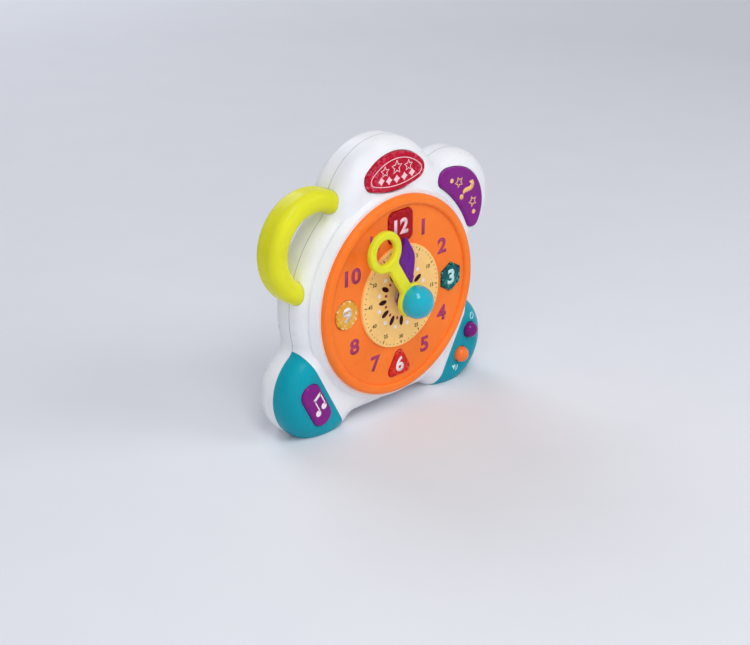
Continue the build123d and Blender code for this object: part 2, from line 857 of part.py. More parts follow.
# Translucent number keys, each with a stop flange and two stems
with BuildPart() as tile_twelve:
    with BuildSketch(front(tile_flange_back)):
        add(square_outline(0))
    extrude(amount=tile_flange_back - floor_depth + tile_proud)
    fillet(tile_twelve.faces().sort_by(Axis.Y)[0].edges(), tile_edge)
    with BuildSketch(front(tile_flange_back)):
        add(square_outline(key_gap + tile_flange))
        Circle(skirt_radius - skirt_thickness - key_gap, mode=Mode.INTERSECT)
    extrude(amount=tile_flange_thickness)
    with BuildSketch(front(tile_stem_back)):
        with Locations((tile_stem_spread, tile_reach), (-tile_stem_spread, tile_reach)):
            Circle(tile_stem_radius)
    extrude(amount=tile_stem_length)
tile_twelve.part.label = "tile_twelve"
export_step(tile_twelve.part, "parts/tile_twelve.step")

with BuildPart() as tile_three:
    with BuildSketch(front(tile_flange_back)):
        add(hexagon_outline(0))
    extrude(amount=tile_flange_back - floor_depth + tile_proud)
    fillet(tile_three.faces().sort_by(Axis.Y)[0].edges(), tile_edge)
    with BuildSketch(front(tile_flange_back)):
        add(hexagon_outline(key_gap + tile_flange))
    extrude(amount=tile_flange_thickness)
    with BuildSketch(front(tile_stem_back)):
        with Locations((tile_reach, tile_stem_spread), (tile_reach, -tile_stem_spread)):
            Circle(tile_stem_radius)
    extrude(amount=tile_stem_length)
tile_three.part.label = "tile_three"
export_step(tile_three.part, "parts/tile_three.step")

with BuildPart() as tile_six:
    with BuildSketch(front(tile_flange_back)):
        add(triangle_outline(0))
    extrude(amount=tile_flange_back - floor_depth + tile_proud)
    fillet(tile_six.faces().sort_by(Axis.Y)[0].edges(), tile_edge)
    with BuildSketch(front(tile_flange_back)):
        add(triangle_outline(key_gap + tile_flange))
    extrude(amount=tile_flange_thickness)
    with BuildSketch(front(tile_stem_back)):
        with Locations((tile_stem_spread, six_stem_height), (-tile_stem_spread, six_stem_height)):
            Circle(tile_stem_radius)
    extrude(amount=tile_stem_length)
tile_six.part.label = "tile_six"
export_step(tile_six.part, "parts/tile_six.step")

with BuildPart() as tile_nine:
    with BuildSketch(front(tile_flange_back)):
        add(round_outline(0))
    extrude(amount=tile_flange_back - floor_depth + tile_proud)
    fillet(tile_nine.faces().sort_by(Axis.Y)[0].edges(), tile_edge)
    with BuildSketch(front(tile_flange_back)):
        add(round_outline(key_gap + tile_flange))
    extrude(amount=tile_flange_thickness)
    with BuildSketch(front(tile_stem_back)):
        with Locations((-tile_reach, tile_stem_spread), (-tile_reach, -tile_stem_spread)):
            Circle(tile_stem_radius)
    extrude(amount=tile_stem_length)
tile_nine.part.label = "tile_nine"
export_step(tile_nine.part, "parts/tile_nine.step")

# Yellow minute hand with its finger ring
with BuildPart() as minute_hand:
    with BuildSketch(turned(minute_thickness - minute_top, minute_angle)) as minute_face:
        Circle(minute_hub)
        with Locations((0, minute_length)):
            Circle(ring_outer)
        with Locations((0, minute_length / 2)):
            Rectangle(minute_arm, minute_length)
        offset(amount=arm_blend)
        offset(amount=-arm_blend)
        with Locations((0, minute_length)):
            Circle(ring_inner, mode=Mode.SUBTRACT)
    extrude(amount=minute_thickness)
    fillet(minute_hand.faces().sort_by(Axis.Y)[0].edges(), minute_round)
    with BuildSketch(front(minute_thickness - minute_top)):
        Circle(arbor_radius + seat_gap)
    extrude(amount=minute_thickness, mode=Mode.SUBTRACT)
minute_hand.part.label = "minute_hand"
export_step(minute_hand.part, "parts/minute_hand.step")

# Purple leaf-shaped hour hand
with BuildPart() as hour_hand:
    with BuildSketch(turned(hour_thickness - hour_top, hour_angle)) as hour_face:
        with BuildLine():
            Polyline(
                (-hour_narrow, 0),
                (-hour_wide, hour_wide_at),
                (0, hour_length + hour_tip_round),
                (hour_wide, hour_wide_at),
                (hour_narrow, 0),
                close=True,
            )
        make_face()
        hour_corners = hour_face.vertices().sort_by(Axis.Y)
        fillet(hour_corners[2:4], hour_side_round)
        fillet(hour_face.vertices().sort_by(Axis.Y)[-1], hour_tip_round)
        Circle(hour_hub)
        offset(amount=arm_blend)
        offset(amount=-arm_blend)
    extrude(amount=hour_thickness)
    fillet(hour_hand.faces().sort_by(Axis.Y)[0].edges(), hour_round)
    with BuildSketch(front(hour_thickness - hour_top)):
        Circle(pipe_radius + seat_gap)
    extrude(amount=hour_thickness, mode=Mode.SUBTRACT)
hour_hand.part.label = "hour_hand"
export_step(hour_hand.part, "parts/hour_hand.step")

# Teal ball that turns with the minute hand
with BuildPart() as centre_knob:
    with Locations((0, rim_y - knob_reach + knob_radius, axis_height)):
        Sphere(knob_radius)
    split(bisect_by=front(-minute_top), keep=Keep.TOP)
    with BuildSketch(front(-minute_top)):
        Circle(arbor_radius + seat_gap)
    extrude(amount=knob_socket, mode=Mode.SUBTRACT)
centre_knob.part.label = "centre_knob"
export_step(centre_knob.part, "parts/centre_knob.step")

# Minute arbor with its pinion
with BuildPart() as minute_arbor:
    with BuildSketch(front(hour_gear_back + gear_play)):
        Circle(arbor_radius)
    extrude(amount=hour_gear_back + gear_play + minute_top + knob_socket - stop_gap)
    with BuildSketch(front(drive_gear_front)):
        Circle(pinion_collar)
    extrude(amount=drive_gear_front - hour_gear_back - gear_play)
    with BuildSketch(front(drive_gear_back)):
        add(gear_outline(pinion_teeth, drive_module, train_angle))
    extrude(amount=drive_gear_width)
    with BuildSketch(front(bridge_front - gear_play)):
        Circle(pinion_collar)
    extrude(amount=bridge_front - gear_play - drive_gear_back)
    with BuildSketch(front(bridge_back)):
        Circle(pivot_radius)
    extrude(amount=bridge_thickness + gear_play)
minute_arbor.part.label = "minute_arbor"
export_step(minute_arbor.part, "parts/minute_arbor.step")

# Hour wheel with the pipe that carries the hour hand
with BuildPart() as hour_wheel:
    with BuildSketch(front(hour_gear_back)):
        add(gear_outline(hour_wheel_teeth, hour_module, train_angle))
    extrude(amount=hour_gear_width)
    with BuildSketch(front(hour_gear_front)):
        Circle(pipe_radius)
    extrude(amount=hour_gear_front + hour_top)
    with BuildSketch(front(hour_gear_back)):
        Circle(arbor_radius + running_gap)
    extrude(amount=hour_gear_back + hour_top, mode=Mode.SUBTRACT)
hour_wheel.part.label = "hour_wheel"
export_step(hour_wheel.part, "parts/hour_wheel.step")

# Intermediate wheel and pinion on its stud
with BuildPart() as intermediate_wheel:
    with BuildSketch(front(drive_gear_back)):
        with Locations(stud_spot):
            drive_tooth_turn = train_angle + 180 + 180 / drive_wheel_teeth
            add(gear_outline(drive_wheel_teeth, drive_module, drive_tooth_turn))
    extrude(amount=drive_gear_width)
    with BuildSketch(front(drive_gear_front)):
        with Locations(stud_spot):
            pinion_tooth_turn = train_angle + 180 + 180 / pinion_teeth
            add(gear_outline(pinion_teeth, hour_module, pinion_tooth_turn))
    extrude(amount=drive_gear_front - hour_gear_front)
    with BuildSketch(front(bridge_front - gear_play)):
        with Locations(stud_spot):
            Circle(stud_radius + stud_collar)
    extrude(amount=bridge_front - gear_play - drive_gear_back)
    with BuildSketch(front(bridge_front)):
        with Locations(stud_spot):
            Circle(stud_radius + running_gap)
    extrude(amount=bridge_front, mode=Mode.SUBTRACT)
intermediate_wheel.part.label = "intermediate_wheel"
export_step(intermediate_wheel.part, "parts/intermediate_wheel.step")

# Steel stud of the intermediate wheel
with BuildPart() as gear_stud:
    with BuildSketch(front(bridge_back)):
        with Locations(stud_spot):
            Circle(stud_radius)
    extrude(amount=bridge_back - stud_front)
gear_stud.part.label = "gear_stud"
export_step(gear_stud.part, "parts/gear_stud.step")

# Bridge behind the train
with BuildPart() as gear_bridge:
    with BuildSketch(front(bridge_back)):
        with BuildLine():
            Polyline(bridge_left, stud_spot, bridge_right, bridge_low, close=True)
        make_face()
        offset(amount=bridge_rim)
    extrude(amount=bridge_thickness)
    with BuildSketch(front(bridge_back)):
        Circle(pivot_radius + running_gap)
        with Locations(stud_spot):
            Circle(stud_radius + seat_gap)
        with Locations(*bridge_posts):
            Circle(small_screw_radius + running_gap)
    extrude(amount=bridge_thickness, mode=Mode.SUBTRACT)
gear_bridge.part.label = "gear_bridge"
export_step(gear_bridge.part, "parts/gear_bridge.step")

with BuildPart() as bridge_screws:
    with BuildSketch(front(bridge_back)):
        with Locations(*bridge_posts):
            Circle(small_screw_radius)
    extrude(amount=bridge_thickness + small_screw_bite)
    with BuildSketch(front(bridge_back + small_head_height)):
        with Locations(*bridge_posts):
            Circle(small_head_radius)
    extrude(amount=small_head_height)
bridge_screws.part.label = "bridge_screws"
export_step(bridge_screws.part, "parts/bridge_screws.step")

# Dial board with switches and lamps behind the number keys
with BuildPart() as dial_board:
    with BuildSketch(front(dial_board_back)):
        Circle(board_outer)
        Circle(board_inner, mode=Mode.SUBTRACT)
        with PolarLocations(dial_post_reach, dial_post_count, start_angle=dial_post_angle):
            Circle(small_screw_radius + running_gap, mode=Mode.SUBTRACT)
    extrude(amount=board_thickness)
dial_board.part.label = "dial_board"
export_step(dial_board.part, "parts/dial_board.step")

with BuildPart() as board_screws:
    with BuildSketch(front(dial_board_back)):
        with PolarLocations(dial_post_reach, dial_post_count, start_angle=dial_post_angle):
            Circle(small_screw_radius)
    extrude(amount=board_thickness + small_screw_bite)
    with BuildSketch(front(dial_board_back + small_head_height)):
        with PolarLocations(dial_post_reach, dial_post_count, start_angle=dial_post_angle):
            Circle(small_head_radius)
    extrude(amount=small_head_height)
board_screws.part.label = "board_screws"
export_step(board_screws.part, "parts/board_screws.step")

with BuildPart() as dial_switches:
    with BuildSketch(front(dial_board_depth)):
        with Locations(*tile_stem_spots):
            Circle(tile_stem_radius + key_gap)
    extrude(amount=dial_board_depth - tile_switch_front)
dial_switches.part.label = "dial_switches"
export_step(dial_switches.part, "parts/dial_switches.step")

with BuildPart() as dial_lamps:
    with BuildSketch(front(dial_board_depth)):
        with Locations((0, tile_reach), (tile_reach, 0), (0, -tile_reach), (-tile_reach, 0)):
            Circle(lamp_radius)
    extrude(amount=lamp_height)
    lamp_tops = dial_lamps.faces().filter_by(Axis.Y).group_by(Axis.Y)[0]
    fillet(lamp_tops.edges(), lamp_round)
dial_lamps.part.label = "dial_lamps"
export_step(dial_lamps.part, "parts/dial_lamps.step")

# Flanges that hold the keys in, trimmed to the room behind the wall
with BuildPart() as clock_flange:
    with BuildSketch(turned(key_flange_back, 0)):
        add(clock_key_outline(key_gap + key_flange))
    extrude(amount=key_flange_thickness)
    add(key_space.part, mode=Mode.INTERSECT)
    with BuildSketch(front(key_flange_back)):
        Circle(skirt_radius + hook_reach + key_gap)
    extrude(amount=key_flange_thickness, mode=Mode.SUBTRACT)

with BuildPart() as quiz_flange:
    with BuildSketch(turned(key_flange_back, quiz_angle)):
        add(quiz_key_outline(key_gap + key_flange))
    extrude(amount=key_flange_thickness)
    add(key_space.part, mode=Mode.INTERSECT)

with BuildPart() as foot_flange:
    with BuildSketch(foot(key_flange_back, -1)):
        add(foot_key_outline(key_gap + key_flange))
        with Locations((-seam_reach / 2 - wall - seam_gap - key_gap, 0)):
            Rectangle(seam_reach, 2 * seam_reach, mode=Mode.INTERSECT)
    extrude(amount=key_flange_thickness)
    add(key_space.part, mode=Mode.INTERSECT)

# Red key on the top lobe
with BuildPart() as clock_button:
    with BuildSketch(turned(key_flange_back, 0)):
        add(clock_key_outline(0))
    extrude(amount=key_flange_back - mode_face_depth)
    fillet(clock_button.faces().sort_by(Axis.Y)[0].edges(), mode_edge)
    add(clock_flange.part)
    with BuildSketch(turned(key_flange_back, 0)):
        add(clock_key_outline(-key_wall))
    extrude(amount=key_flange_back - mode_face_depth - key_wall, mode=Mode.SUBTRACT)
    with BuildSketch(turned(key_stem_back, 0)):
        with Locations(*[(s * key_stem_spread, lobe_board_up) for s in (-1, 1)]):
            Circle(key_stem_radius)
    extrude(amount=key_stem_back - mode_face_depth - key_wall / 2)
clock_button.part.label = "clock_button"
export_step(clock_button.part, "parts/clock_button.step")

# Purple key on the right ear
with BuildPart() as quiz_button:
    with BuildSketch(turned(key_flange_back, quiz_angle)):
        add(quiz_key_outline(0))
    extrude(amount=key_flange_back - mode_face_depth)
    fillet(quiz_button.faces().sort_by(Axis.Y)[0].edges(), mode_edge)
    add(quiz_flange.part)
    with BuildSketch(turned(key_flange_back, quiz_angle)):
        add(quiz_key_outline(-key_wall))
    extrude(amount=key_flange_back - mode_face_depth - key_wall, mode=Mode.SUBTRACT)
    with BuildSketch(turned(key_stem_back, quiz_angle)):
        with Locations(*[(s * key_stem_spread, ear_board_up) for s in (-1, 1)]):
            Circle(key_stem_radius)
    extrude(amount=key_stem_back - mode_face_depth - key_wall / 2)
quiz_button.part.label = "quiz_button"
export_step(quiz_button.part, "parts/quiz_button.step")

# Large key on the left foot
with BuildPart() as foot_button:
    with BuildSketch(foot(key_flange_back, -1)):
        add(foot_key_outline(0))
    extrude(amount=key_flange_back - mode_face_depth)
    fillet(foot_button.faces().sort_by(Axis.Y)[0].edges(), mode_edge)
    add(foot_flange.part)
    with BuildSketch(foot(key_flange_back, -1)):
        add(foot_key_outline(-key_wall))
    extrude(amount=key_flange_back - mode_face_depth - key_wall, mode=Mode.SUBTRACT)
    with BuildSketch(foot(key_stem_back, -1)):
        with Locations(*[(-foot_key_out, s * foot_stem_spread) for s in (-1, 1)]):
            Circle(key_stem_radius)
    extrude(amount=key_stem_back - mode_face_depth - key_wall / 2)
foot_button.part.label = "foot_button"
export_step(foot_button.part, "parts/foot_button.step")

# Two round keys on the right foot
with BuildPart() as upper_dome_flange:
    with BuildSketch(foot(key_flange_back, 1)):
        with Locations((dome_out, upper_dome_along)):
            Circle(dome_radius + key_gap + key_flange)
    extrude(amount=key_flange_thickness)
    add(key_space.part, mode=Mode.INTERSECT)

with BuildPart() as upper_dome_button:
    with Locations(foot(dome_centre_depth, 1).from_local_coords(Vector(dome_out, upper_dome_along, 0))):
        Sphere(dome_radius)
    with BuildSketch(foot(key_flange_back, 1)):
        with Locations((dome_out, upper_dome_along)):
            Circle(dome_radius)
    extrude(amount=key_flange_back - dome_centre_depth)
    add(upper_dome_flange.part)
    with BuildSketch(foot(key_stem_back, 1)):
        with Locations((dome_out, upper_dome_along)):
            Circle(key_stem_radius)
    extrude(amount=key_stem_back - key_flange_back)
upper_dome_button.part.label = "upper_dome_button"
export_step(upper_dome_button.part, "parts/upper_dome_button.step")

with BuildPart() as lower_dome_flange:
    with BuildSketch(foot(key_flange_back, 1)):
        with Locations((dome_out, lower_dome_along)):
            Circle(dome_radius + key_gap + key_flange)
    extrude(amount=key_flange_thickness)
    add(key_space.part, mode=Mode.INTERSECT)

with BuildPart() as lower_dome_button:
    with Locations(foot(dome_centre_depth, 1).from_local_coords(Vector(dome_out, lower_dome_along, 0))):
        Sphere(dome_radius)
    with BuildSketch(foot(key_flange_back, 1)):
        with Locations((dome_out, lower_dome_along)):
            Circle(dome_radius)
    extrude(amount=key_flange_back - dome_centre_depth)
    add(lower_dome_flange.part)
    with BuildSketch(foot(key_stem_back, 1)):
        with Locations((dome_out, lower_dome_along)):
            Circle(key_stem_radius)
    extrude(amount=key_stem_back - key_flange_back)
lower_dome_button.part.label = "lower_dome_button"
export_step(lower_dome_button.part, "parts/lower_dome_button.step")

# Key boards on the rear posts
with BuildPart() as lobe_board:
    with BuildSketch(turned(board_back, 0)):
        with Locations((0, lobe_board_up)):
            Rectangle(mode_board_length, mode_board_width)
        with Locations(*[(s * mode_post_spread, lobe_board_up) for s in (-1, 1)]):
            Circle(board_pip_radius + running_gap, mode=Mode.SUBTRACT)
    extrude(amount=board_thickness)
lobe_board.part.label = "lobe_board"
export_step(lobe_board.part, "parts/lobe_board.step")

with BuildPart() as ear_board:
    with BuildSketch(turned(board_back, quiz_angle)):
        with Locations((0, ear_board_up)):
            Rectangle(mode_board_length, mode_board_width)
        with Locations(*[(s * mode_post_spread, ear_board_up) for s in (-1, 1)]):
            Circle(board_pip_radius + running_gap, mode=Mode.SUBTRACT)
    extrude(amount=board_thickness)
ear_board.part.label = "ear_board"
export_step(ear_board.part, "parts/ear_board.step")

with BuildPart() as right_foot_board:
    with BuildSketch(foot(board_back, 1)):
        with Locations((foot_board_out, 0)):
            Rectangle(foot_board_width, foot_board_length)
        with Locations((foot_board_out, foot_post_spread), (foot_board_out, -foot_post_spread)):
            Circle(board_pip_radius + running_gap, mode=Mode.SUBTRACT)
    extrude(amount=board_thickness)
right_foot_board.part.label = "right_foot_board"
export_step(right_foot_board.part, "parts/right_foot_board.step")

with BuildPart() as left_foot_board:
    with BuildSketch(foot(board_back, -1)):
        with Locations((-foot_board_out, 0)):
            Rectangle(foot_board_width, foot_board_length)
        with Locations((-foot_board_out, foot_post_spread), (-foot_board_out, -foot_post_spread)):
            Circle(board_pip_radius + running_gap, mode=Mode.SUBTRACT)
    extrude(amount=board_thickness)
left_foot_board.part.label = "left_foot_board"
export_step(left_foot_board.part, "parts/left_foot_board.step")

# Switches on the four key boards
with BuildPart() as key_switches:
    with BuildSketch(turned(board_depth, 0)):
        with Locations(*[(s * key_stem_spread, lobe_board_up) for s in (-1, 1)]):
            Rectangle(switch_side, switch_side)
    extrude(amount=switch_height)
    with BuildSketch(turned(board_depth, quiz_angle)):
        with Locations(*[(s * key_stem_spread, ear_board_up) for s in (-1, 1)]):
            Rectangle(switch_side, switch_side)
    extrude(amount=switch_height)
    with BuildSketch(foot(board_depth, -1)):
        with Locations(*[(-foot_key_out, s * foot_stem_spread) for s in (-1, 1)]):
            Rectangle(switch_side, switch_side)
    extrude(amount=switch_height)
    with BuildSketch(foot(board_depth, 1)):
        with Locations((dome_out, upper_dome_along), (dome_out, lower_dome_along)):
            Rectangle(switch_side, switch_side)
    extrude(amount=switch_height)
key_switches.part.label = "key_switches"
export_step(key_switches.part, "parts/key_switches.step")

# Speaker against the rear grille
with BuildPart() as speaker_frame:
    with BuildSketch(front(rear_inside)):
        with Locations((0, speaker_height)):
            Circle(speaker_radius)
            Circle(speaker_radius - speaker_rim, mode=Mode.SUBTRACT)
    extrude(amount=speaker_rim)
    with BuildSketch(front(rear_inside - speaker_rim)):
        with Locations((0, speaker_height)):
            Circle(speaker_radius)
    extrude(amount=cone_depth, taper=basket_angle)
    with BuildSketch(front(rear_inside - speaker_rim)):
        with Locations((0, speaker_height)):
            Circle(speaker_radius - speaker_rim)
    extrude(amount=cone_depth - speaker_rim, taper=basket_angle, mode=Mode.SUBTRACT)
speaker_frame.part.label = "speaker_frame"
export_step(speaker_frame.part, "parts/speaker_frame.step")

with BuildPart() as speaker_cone:
    with BuildSketch(front(rear_inside - speaker_rim)):
        with Locations((0, speaker_height)):
            Circle(speaker_radius - speaker_rim - seat_gap)
    extrude(amount=cone_depth - speaker_rim - seat_gap, taper=basket_angle)
    with BuildSketch(front(rear_inside - speaker_rim)):
        with Locations((0, speaker_height)):
            Circle(speaker_radius - 2 * speaker_rim)
    extrude(amount=cone_depth - speaker_rim - cone_thickness, taper=basket_angle, mode=Mode.SUBTRACT)
speaker_cone.part.label = "speaker_cone"
export_step(speaker_cone.part, "parts/speaker_cone.step")

with BuildPart() as speaker_magnet:
    with BuildSketch(front(rear_inside - speaker_rim - cone_depth)):
        with Locations((0, speaker_height)):
            Circle(magnet_radius)
    extrude(amount=magnet_depth)
speaker_magnet.part.label = "speaker_magnet"
export_step(speaker_magnet.part, "parts/speaker_magnet.step")

# Cells lying across the bay, turned end for end in turn
with BuildPart() as battery_cells:
    for row in range(cell_count):
        end = -1 if row % 2 else 1
        height = bay_low + row * cell_pitch
        flat_end = (-end * cell_length / 2, rim_y + cell_depth, height)
        with BuildSketch(Plane(origin=flat_end, z_dir=(end, 0, 0))):
            Circle(cell_radius)
        extrude(amount=cell_length - cell_nub)
        nub_end = (end * cell_length / 2, rim_y + cell_depth, height)
        with BuildSketch(Plane(origin=nub_end, z_dir=(-end, 0, 0))):
            Circle(cell_nub_radius)
        extrude(amount=cell_nub)
battery_cells.part.label = "battery_cells"
export_step(battery_cells.part, "parts/battery_cells.step")

# Contact strips that join the cells in a row, each with pressed dimples
contact_strips = [(1, [0])]
contact_strips += [(1 if row % 2 else -1, [row, row + 1]) for row in range(cell_count - 1)]
contact_strips += [(-1 if cell_count % 2 else 1, [cell_count - 1])]
with BuildPart() as battery_contacts:
    for end, rows in contact_strips:
        bay_end = (end * bay_width / 2, rim_y + cell_depth, bay_low)
        strip = Plane(origin=bay_end, x_dir=(0, -end, 0), z_dir=(-end, 0, 0))
        tall = (len(rows) - 1) * cell_pitch + contact_width
        with BuildSketch(strip):
            with Locations((0, (rows[0] + rows[-1]) / 2 * cell_pitch)):
                Rectangle(contact_width, tall)
        extrude(amount=contact_thickness)
        with BuildSketch(strip):
            with Locations(*[(0, row * cell_pitch) for row in rows]):
                Circle(cell_nub_radius)
        extrude(amount=bay_end_room - seat_gap)
battery_contacts.part.label = "battery_contacts"
export_step(battery_contacts.part, "parts/battery_contacts.step")

# Battery door and its screw
with BuildPart() as battery_door:
    with BuildSketch(front(body_depth)):
        with Locations((0, -bay_drop)):
            Rectangle(bay_width + 2 * door_lap, bay_tall + 2 * door_lap)
        with Locations((0, -door_tab_drop)):
            Circle(door_tab_radius - door_gap)
    extrude(amount=wall)
    with BuildSketch(front(body_depth)):
        with Locations((0, -door_tab_drop)):
            Circle(small_head_radius + door_gap)
    extrude(amount=small_head_height, mode=Mode.SUBTRACT)
    with BuildSketch(front(body_depth)):
        with Locations((0, -door_tab_drop)):
            Circle(small_screw_radius + running_gap)
    extrude(amount=wall, mode=Mode.SUBTRACT)
battery_door.part.label = "battery_door"
export_step(battery_door.part, "parts/battery_door.step")

with BuildPart() as door_screw:
    with BuildSketch(front(body_depth)):
        with Locations((0, -door_tab_drop)):
            Circle(small_head_radius)
    extrude(amount=small_head_height)
    with BuildSketch(front(body_depth - small_head_height)):
        with Locations((0, -door_tab_drop)):
            Circle(small_screw_radius)
    extrude(amount=wall - small_head_height + door_screw_bite)
    with BuildSketch(front(body_depth)):
        with Locations((0, -door_tab_drop)):
            Rectangle(cross_length, cross_width)
            Rectangle(cross_width, cross_length)
    extrude(amount=cross_depth, mode=Mode.SUBTRACT)
door_screw.part.label = "door_screw"
export_step(door_screw.part, "parts/door_screw.step")

# Screws that hold the shells and foot caps together
with BuildPart() as housing_screws:
    with BuildSketch(front(screw_head_back)):
        with Locations(*boss_spots, *cap_boss_spots):
            Circle(screw_head_radius)
    extrude(amount=screw_head_height)
    with BuildSketch(front(screw_head_under)):
        with Locations(*boss_spots, *cap_boss_spots):
            Circle(screw_radius)
    extrude(amount=screw_head_under - screw_top)
    with BuildSketch(front(screw_head_back)):
        with Locations(*boss_spots, *cap_boss_spots):
            Rectangle(cross_length, cross_width)
            Rectangle(cross_width, cross_length)
    extrude(amount=cross_depth, mode=Mode.SUBTRACT)
housing_screws.part.label = "housing_screws"
export_step(housing_screws.part, "parts/housing_screws.step")
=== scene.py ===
# %% [markdown]
# This lesson dresses a toy learning clock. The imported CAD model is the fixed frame: its
# mouldings, keys, hands and gears already have their shapes, so the work here is the
# plastic, the printed dial and the small signs that a pad printer puts on the keys.

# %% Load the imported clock
import math

import bmesh
import bpy
from mathutils import Matrix, Vector


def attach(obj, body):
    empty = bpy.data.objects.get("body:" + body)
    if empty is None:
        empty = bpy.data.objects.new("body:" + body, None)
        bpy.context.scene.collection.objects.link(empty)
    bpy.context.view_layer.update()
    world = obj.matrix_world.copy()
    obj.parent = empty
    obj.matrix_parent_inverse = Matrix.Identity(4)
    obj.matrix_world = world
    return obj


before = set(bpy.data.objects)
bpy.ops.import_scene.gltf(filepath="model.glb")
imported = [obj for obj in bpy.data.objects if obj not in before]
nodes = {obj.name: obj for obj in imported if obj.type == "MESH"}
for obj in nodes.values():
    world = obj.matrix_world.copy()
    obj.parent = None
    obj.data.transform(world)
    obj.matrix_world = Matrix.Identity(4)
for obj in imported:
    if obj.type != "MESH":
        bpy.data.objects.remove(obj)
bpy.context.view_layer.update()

print("nodes in the clock:", len(nodes))

# %% [markdown]
# Everything is written in millimetres, because that is how a toy is drawn, and turned to
# metres in one place. Depth counts backwards from the front of the dial lip, and a clock
# turn counts clockwise from twelve.

# %% Sizes shared by the whole clock
MM = 0.001
AXIS_HEIGHT = 89.0
LIP_Y = -10.0
PARTING_DEPTH = 26.0
FLOOR_DEPTH = 2.4
DISC_DEPTH = 0.3
TILE_DEPTH = 1.2
TILE_REACH = 51.7
KEY_DEPTH = 6.0
INK = 0.12


def on_dial(across, up, depth, clock_turn=0.0):
    """Matrix that lays a flat drawing, made in mm, on a plane parallel to the dial."""
    turn = math.radians(clock_turn)
    right = Vector((math.cos(turn), 0.0, -math.sin(turn)))
    upward = Vector((math.sin(turn), 0.0, math.cos(turn)))
    out = Vector((0.0, -1.0, 0.0))
    place = Vector((across, LIP_Y + depth, AXIS_HEIGHT + up))
    columns = Matrix((right, upward, out)).transposed().to_4x4()
    return Matrix.Scale(MM, 4) @ Matrix.Translation(place) @ columns


def clock_point(reach, clock_turn):
    turn = math.radians(clock_turn)
    return reach * math.sin(turn), reach * math.cos(turn)


print("the axis of the hands is", AXIS_HEIGHT, "mm above the floor")

# %% [markdown]
# Two small helpers carry every material. The first turns a colour picked as an sRGB hex
# value to the linear numbers that a shader works in. The second adds one node with its
# settings, its plain values and its links, so that each recipe reads from top to bottom.

# %% Colour and node helpers
def linear(colour):
    parts = [int(colour[i:i + 2], 16) / 255 for i in (1, 3, 5)]
    curve = [c / 12.92 if c <= 0.04045 else ((c + 0.055) / 1.055) ** 2.4 for c in parts]
    return (*curve, 1.0)


def add(tree, kind, inputs=None, **settings):
    node = tree.nodes.new(kind)
    for name, value in settings.items():
        setattr(node, name, value)
    for name, value in (inputs or {}).items():
        if isinstance(value, bpy.types.NodeSocket):
            tree.links.new(value, node.inputs[name])
        else:
            node.inputs[name].default_value = value
    return node


def empty_material(name):
    material = bpy.data.materials.new(name)
    material.use_nodes = True
    material.node_tree.nodes.clear()
    return material, material.node_tree


def per_mm(size):
    """Texture scale that gives features of this size in mm."""
    return 1.0 / (size * MM)


print("middle grey in linear light:", linear("#808080")[:3])

# %% [markdown]
# ABS is what most of this toy is moulded from. A polished mould gives it a soft gloss, the
# melt leaves faint clouds of tone where it flowed, and the skin has a fine orange peel that
# breaks up each reflection. One flat colour would look like paint, so three noise textures
# carry the clouds, the gloss and the peel. The peel is really about 0.5 mm wide; it is drawn
# at 1.4 mm so that it still shows in a picture of the whole clock.

# %% Recipe for moulded ABS
FLOW_MM = 38.0
SHEEN_MM = 9.0
PEEL_MM = 1.4
SEAM_MM = 0.1
SEAM_FADE_MM = 0.3
ABS_IOR = 1.53


def moulded_abs(name, colour, shade, roughness, seam=False, coat=0.05):
    material, tree = empty_material(name)
    place = add(tree, "ShaderNodeTexCoord").outputs["Object"]
    flow = add(tree, "ShaderNodeTexNoise", {
        "Vector": place, "Scale": per_mm(FLOW_MM), "Detail": 3.0})
    cloud = add(tree, "ShaderNodeMapRange", {
        "Value": flow.outputs["Fac"], "From Min": 0.35, "From Max": 0.7})
    skin = add(tree, "ShaderNodeMix", {
        0: cloud.outputs[0], 6: linear(colour), 7: linear(shade)}, data_type="RGBA").outputs[2]
    if seam:
        # The two halves of the case meet in a hairline that gathers a little shade.
        along = add(tree, "ShaderNodeSeparateXYZ", {0: place}).outputs["Y"]
        seam_y = (LIP_Y + PARTING_DEPTH) * MM
        off = add(tree, "ShaderNodeMath", {0: along, 1: seam_y}, operation="SUBTRACT")
        away = add(tree, "ShaderNodeMath", {0: off.outputs[0]}, operation="ABSOLUTE")
        line = add(tree, "ShaderNodeMapRange", {
            "Value": away.outputs[0], "From Min": SEAM_MM * MM, "From Max": SEAM_FADE_MM * MM})
        skin = add(tree, "ShaderNodeMix", {
            0: line.outputs[0], 6: linear("#8E9097"), 7: skin}, data_type="RGBA").outputs[2]
    sheen = add(tree, "ShaderNodeTexNoise", {
        "Vector": place, "Scale": per_mm(SHEEN_MM), "Detail": 2.0})
    rough = add(tree, "ShaderNodeMapRange", {
        "Value": sheen.outputs["Fac"], "From Min": 0.3, "From Max": 0.7,
        "To Min": roughness - 0.05, "To Max": roughness + 0.07})
    peel = add(tree, "ShaderNodeTexNoise", {
        "Vector": place, "Scale": per_mm(PEEL_MM), "Detail": 2.0})
    bump = add(tree, "ShaderNodeBump", {
        "Strength": 0.1, "Distance": 0.06 * MM, "Height": peel.outputs["Fac"]})
    shader = add(tree, "ShaderNodeBsdfPrincipled", {
        "Base Color": skin, "Roughness": rough.outputs[0], "IOR": ABS_IOR,
        "Specular IOR Level": 0.11, "Normal": bump.outputs[0],
        "Coat Weight": coat, "Coat Roughness": 0.05})
    add(tree, "ShaderNodeOutputMaterial", {"Surface": shader.outputs[0]})
    return material


# %% [markdown]
# Each moulding has two tones, its colour and a slightly deeper one for the clouds. The ball,
# the round keys and the purple keys come from a brighter polished mould, which is what the
# coat gives. The gears, switches and lamps inside are other plastics that look much alike,
# so they share the recipe.

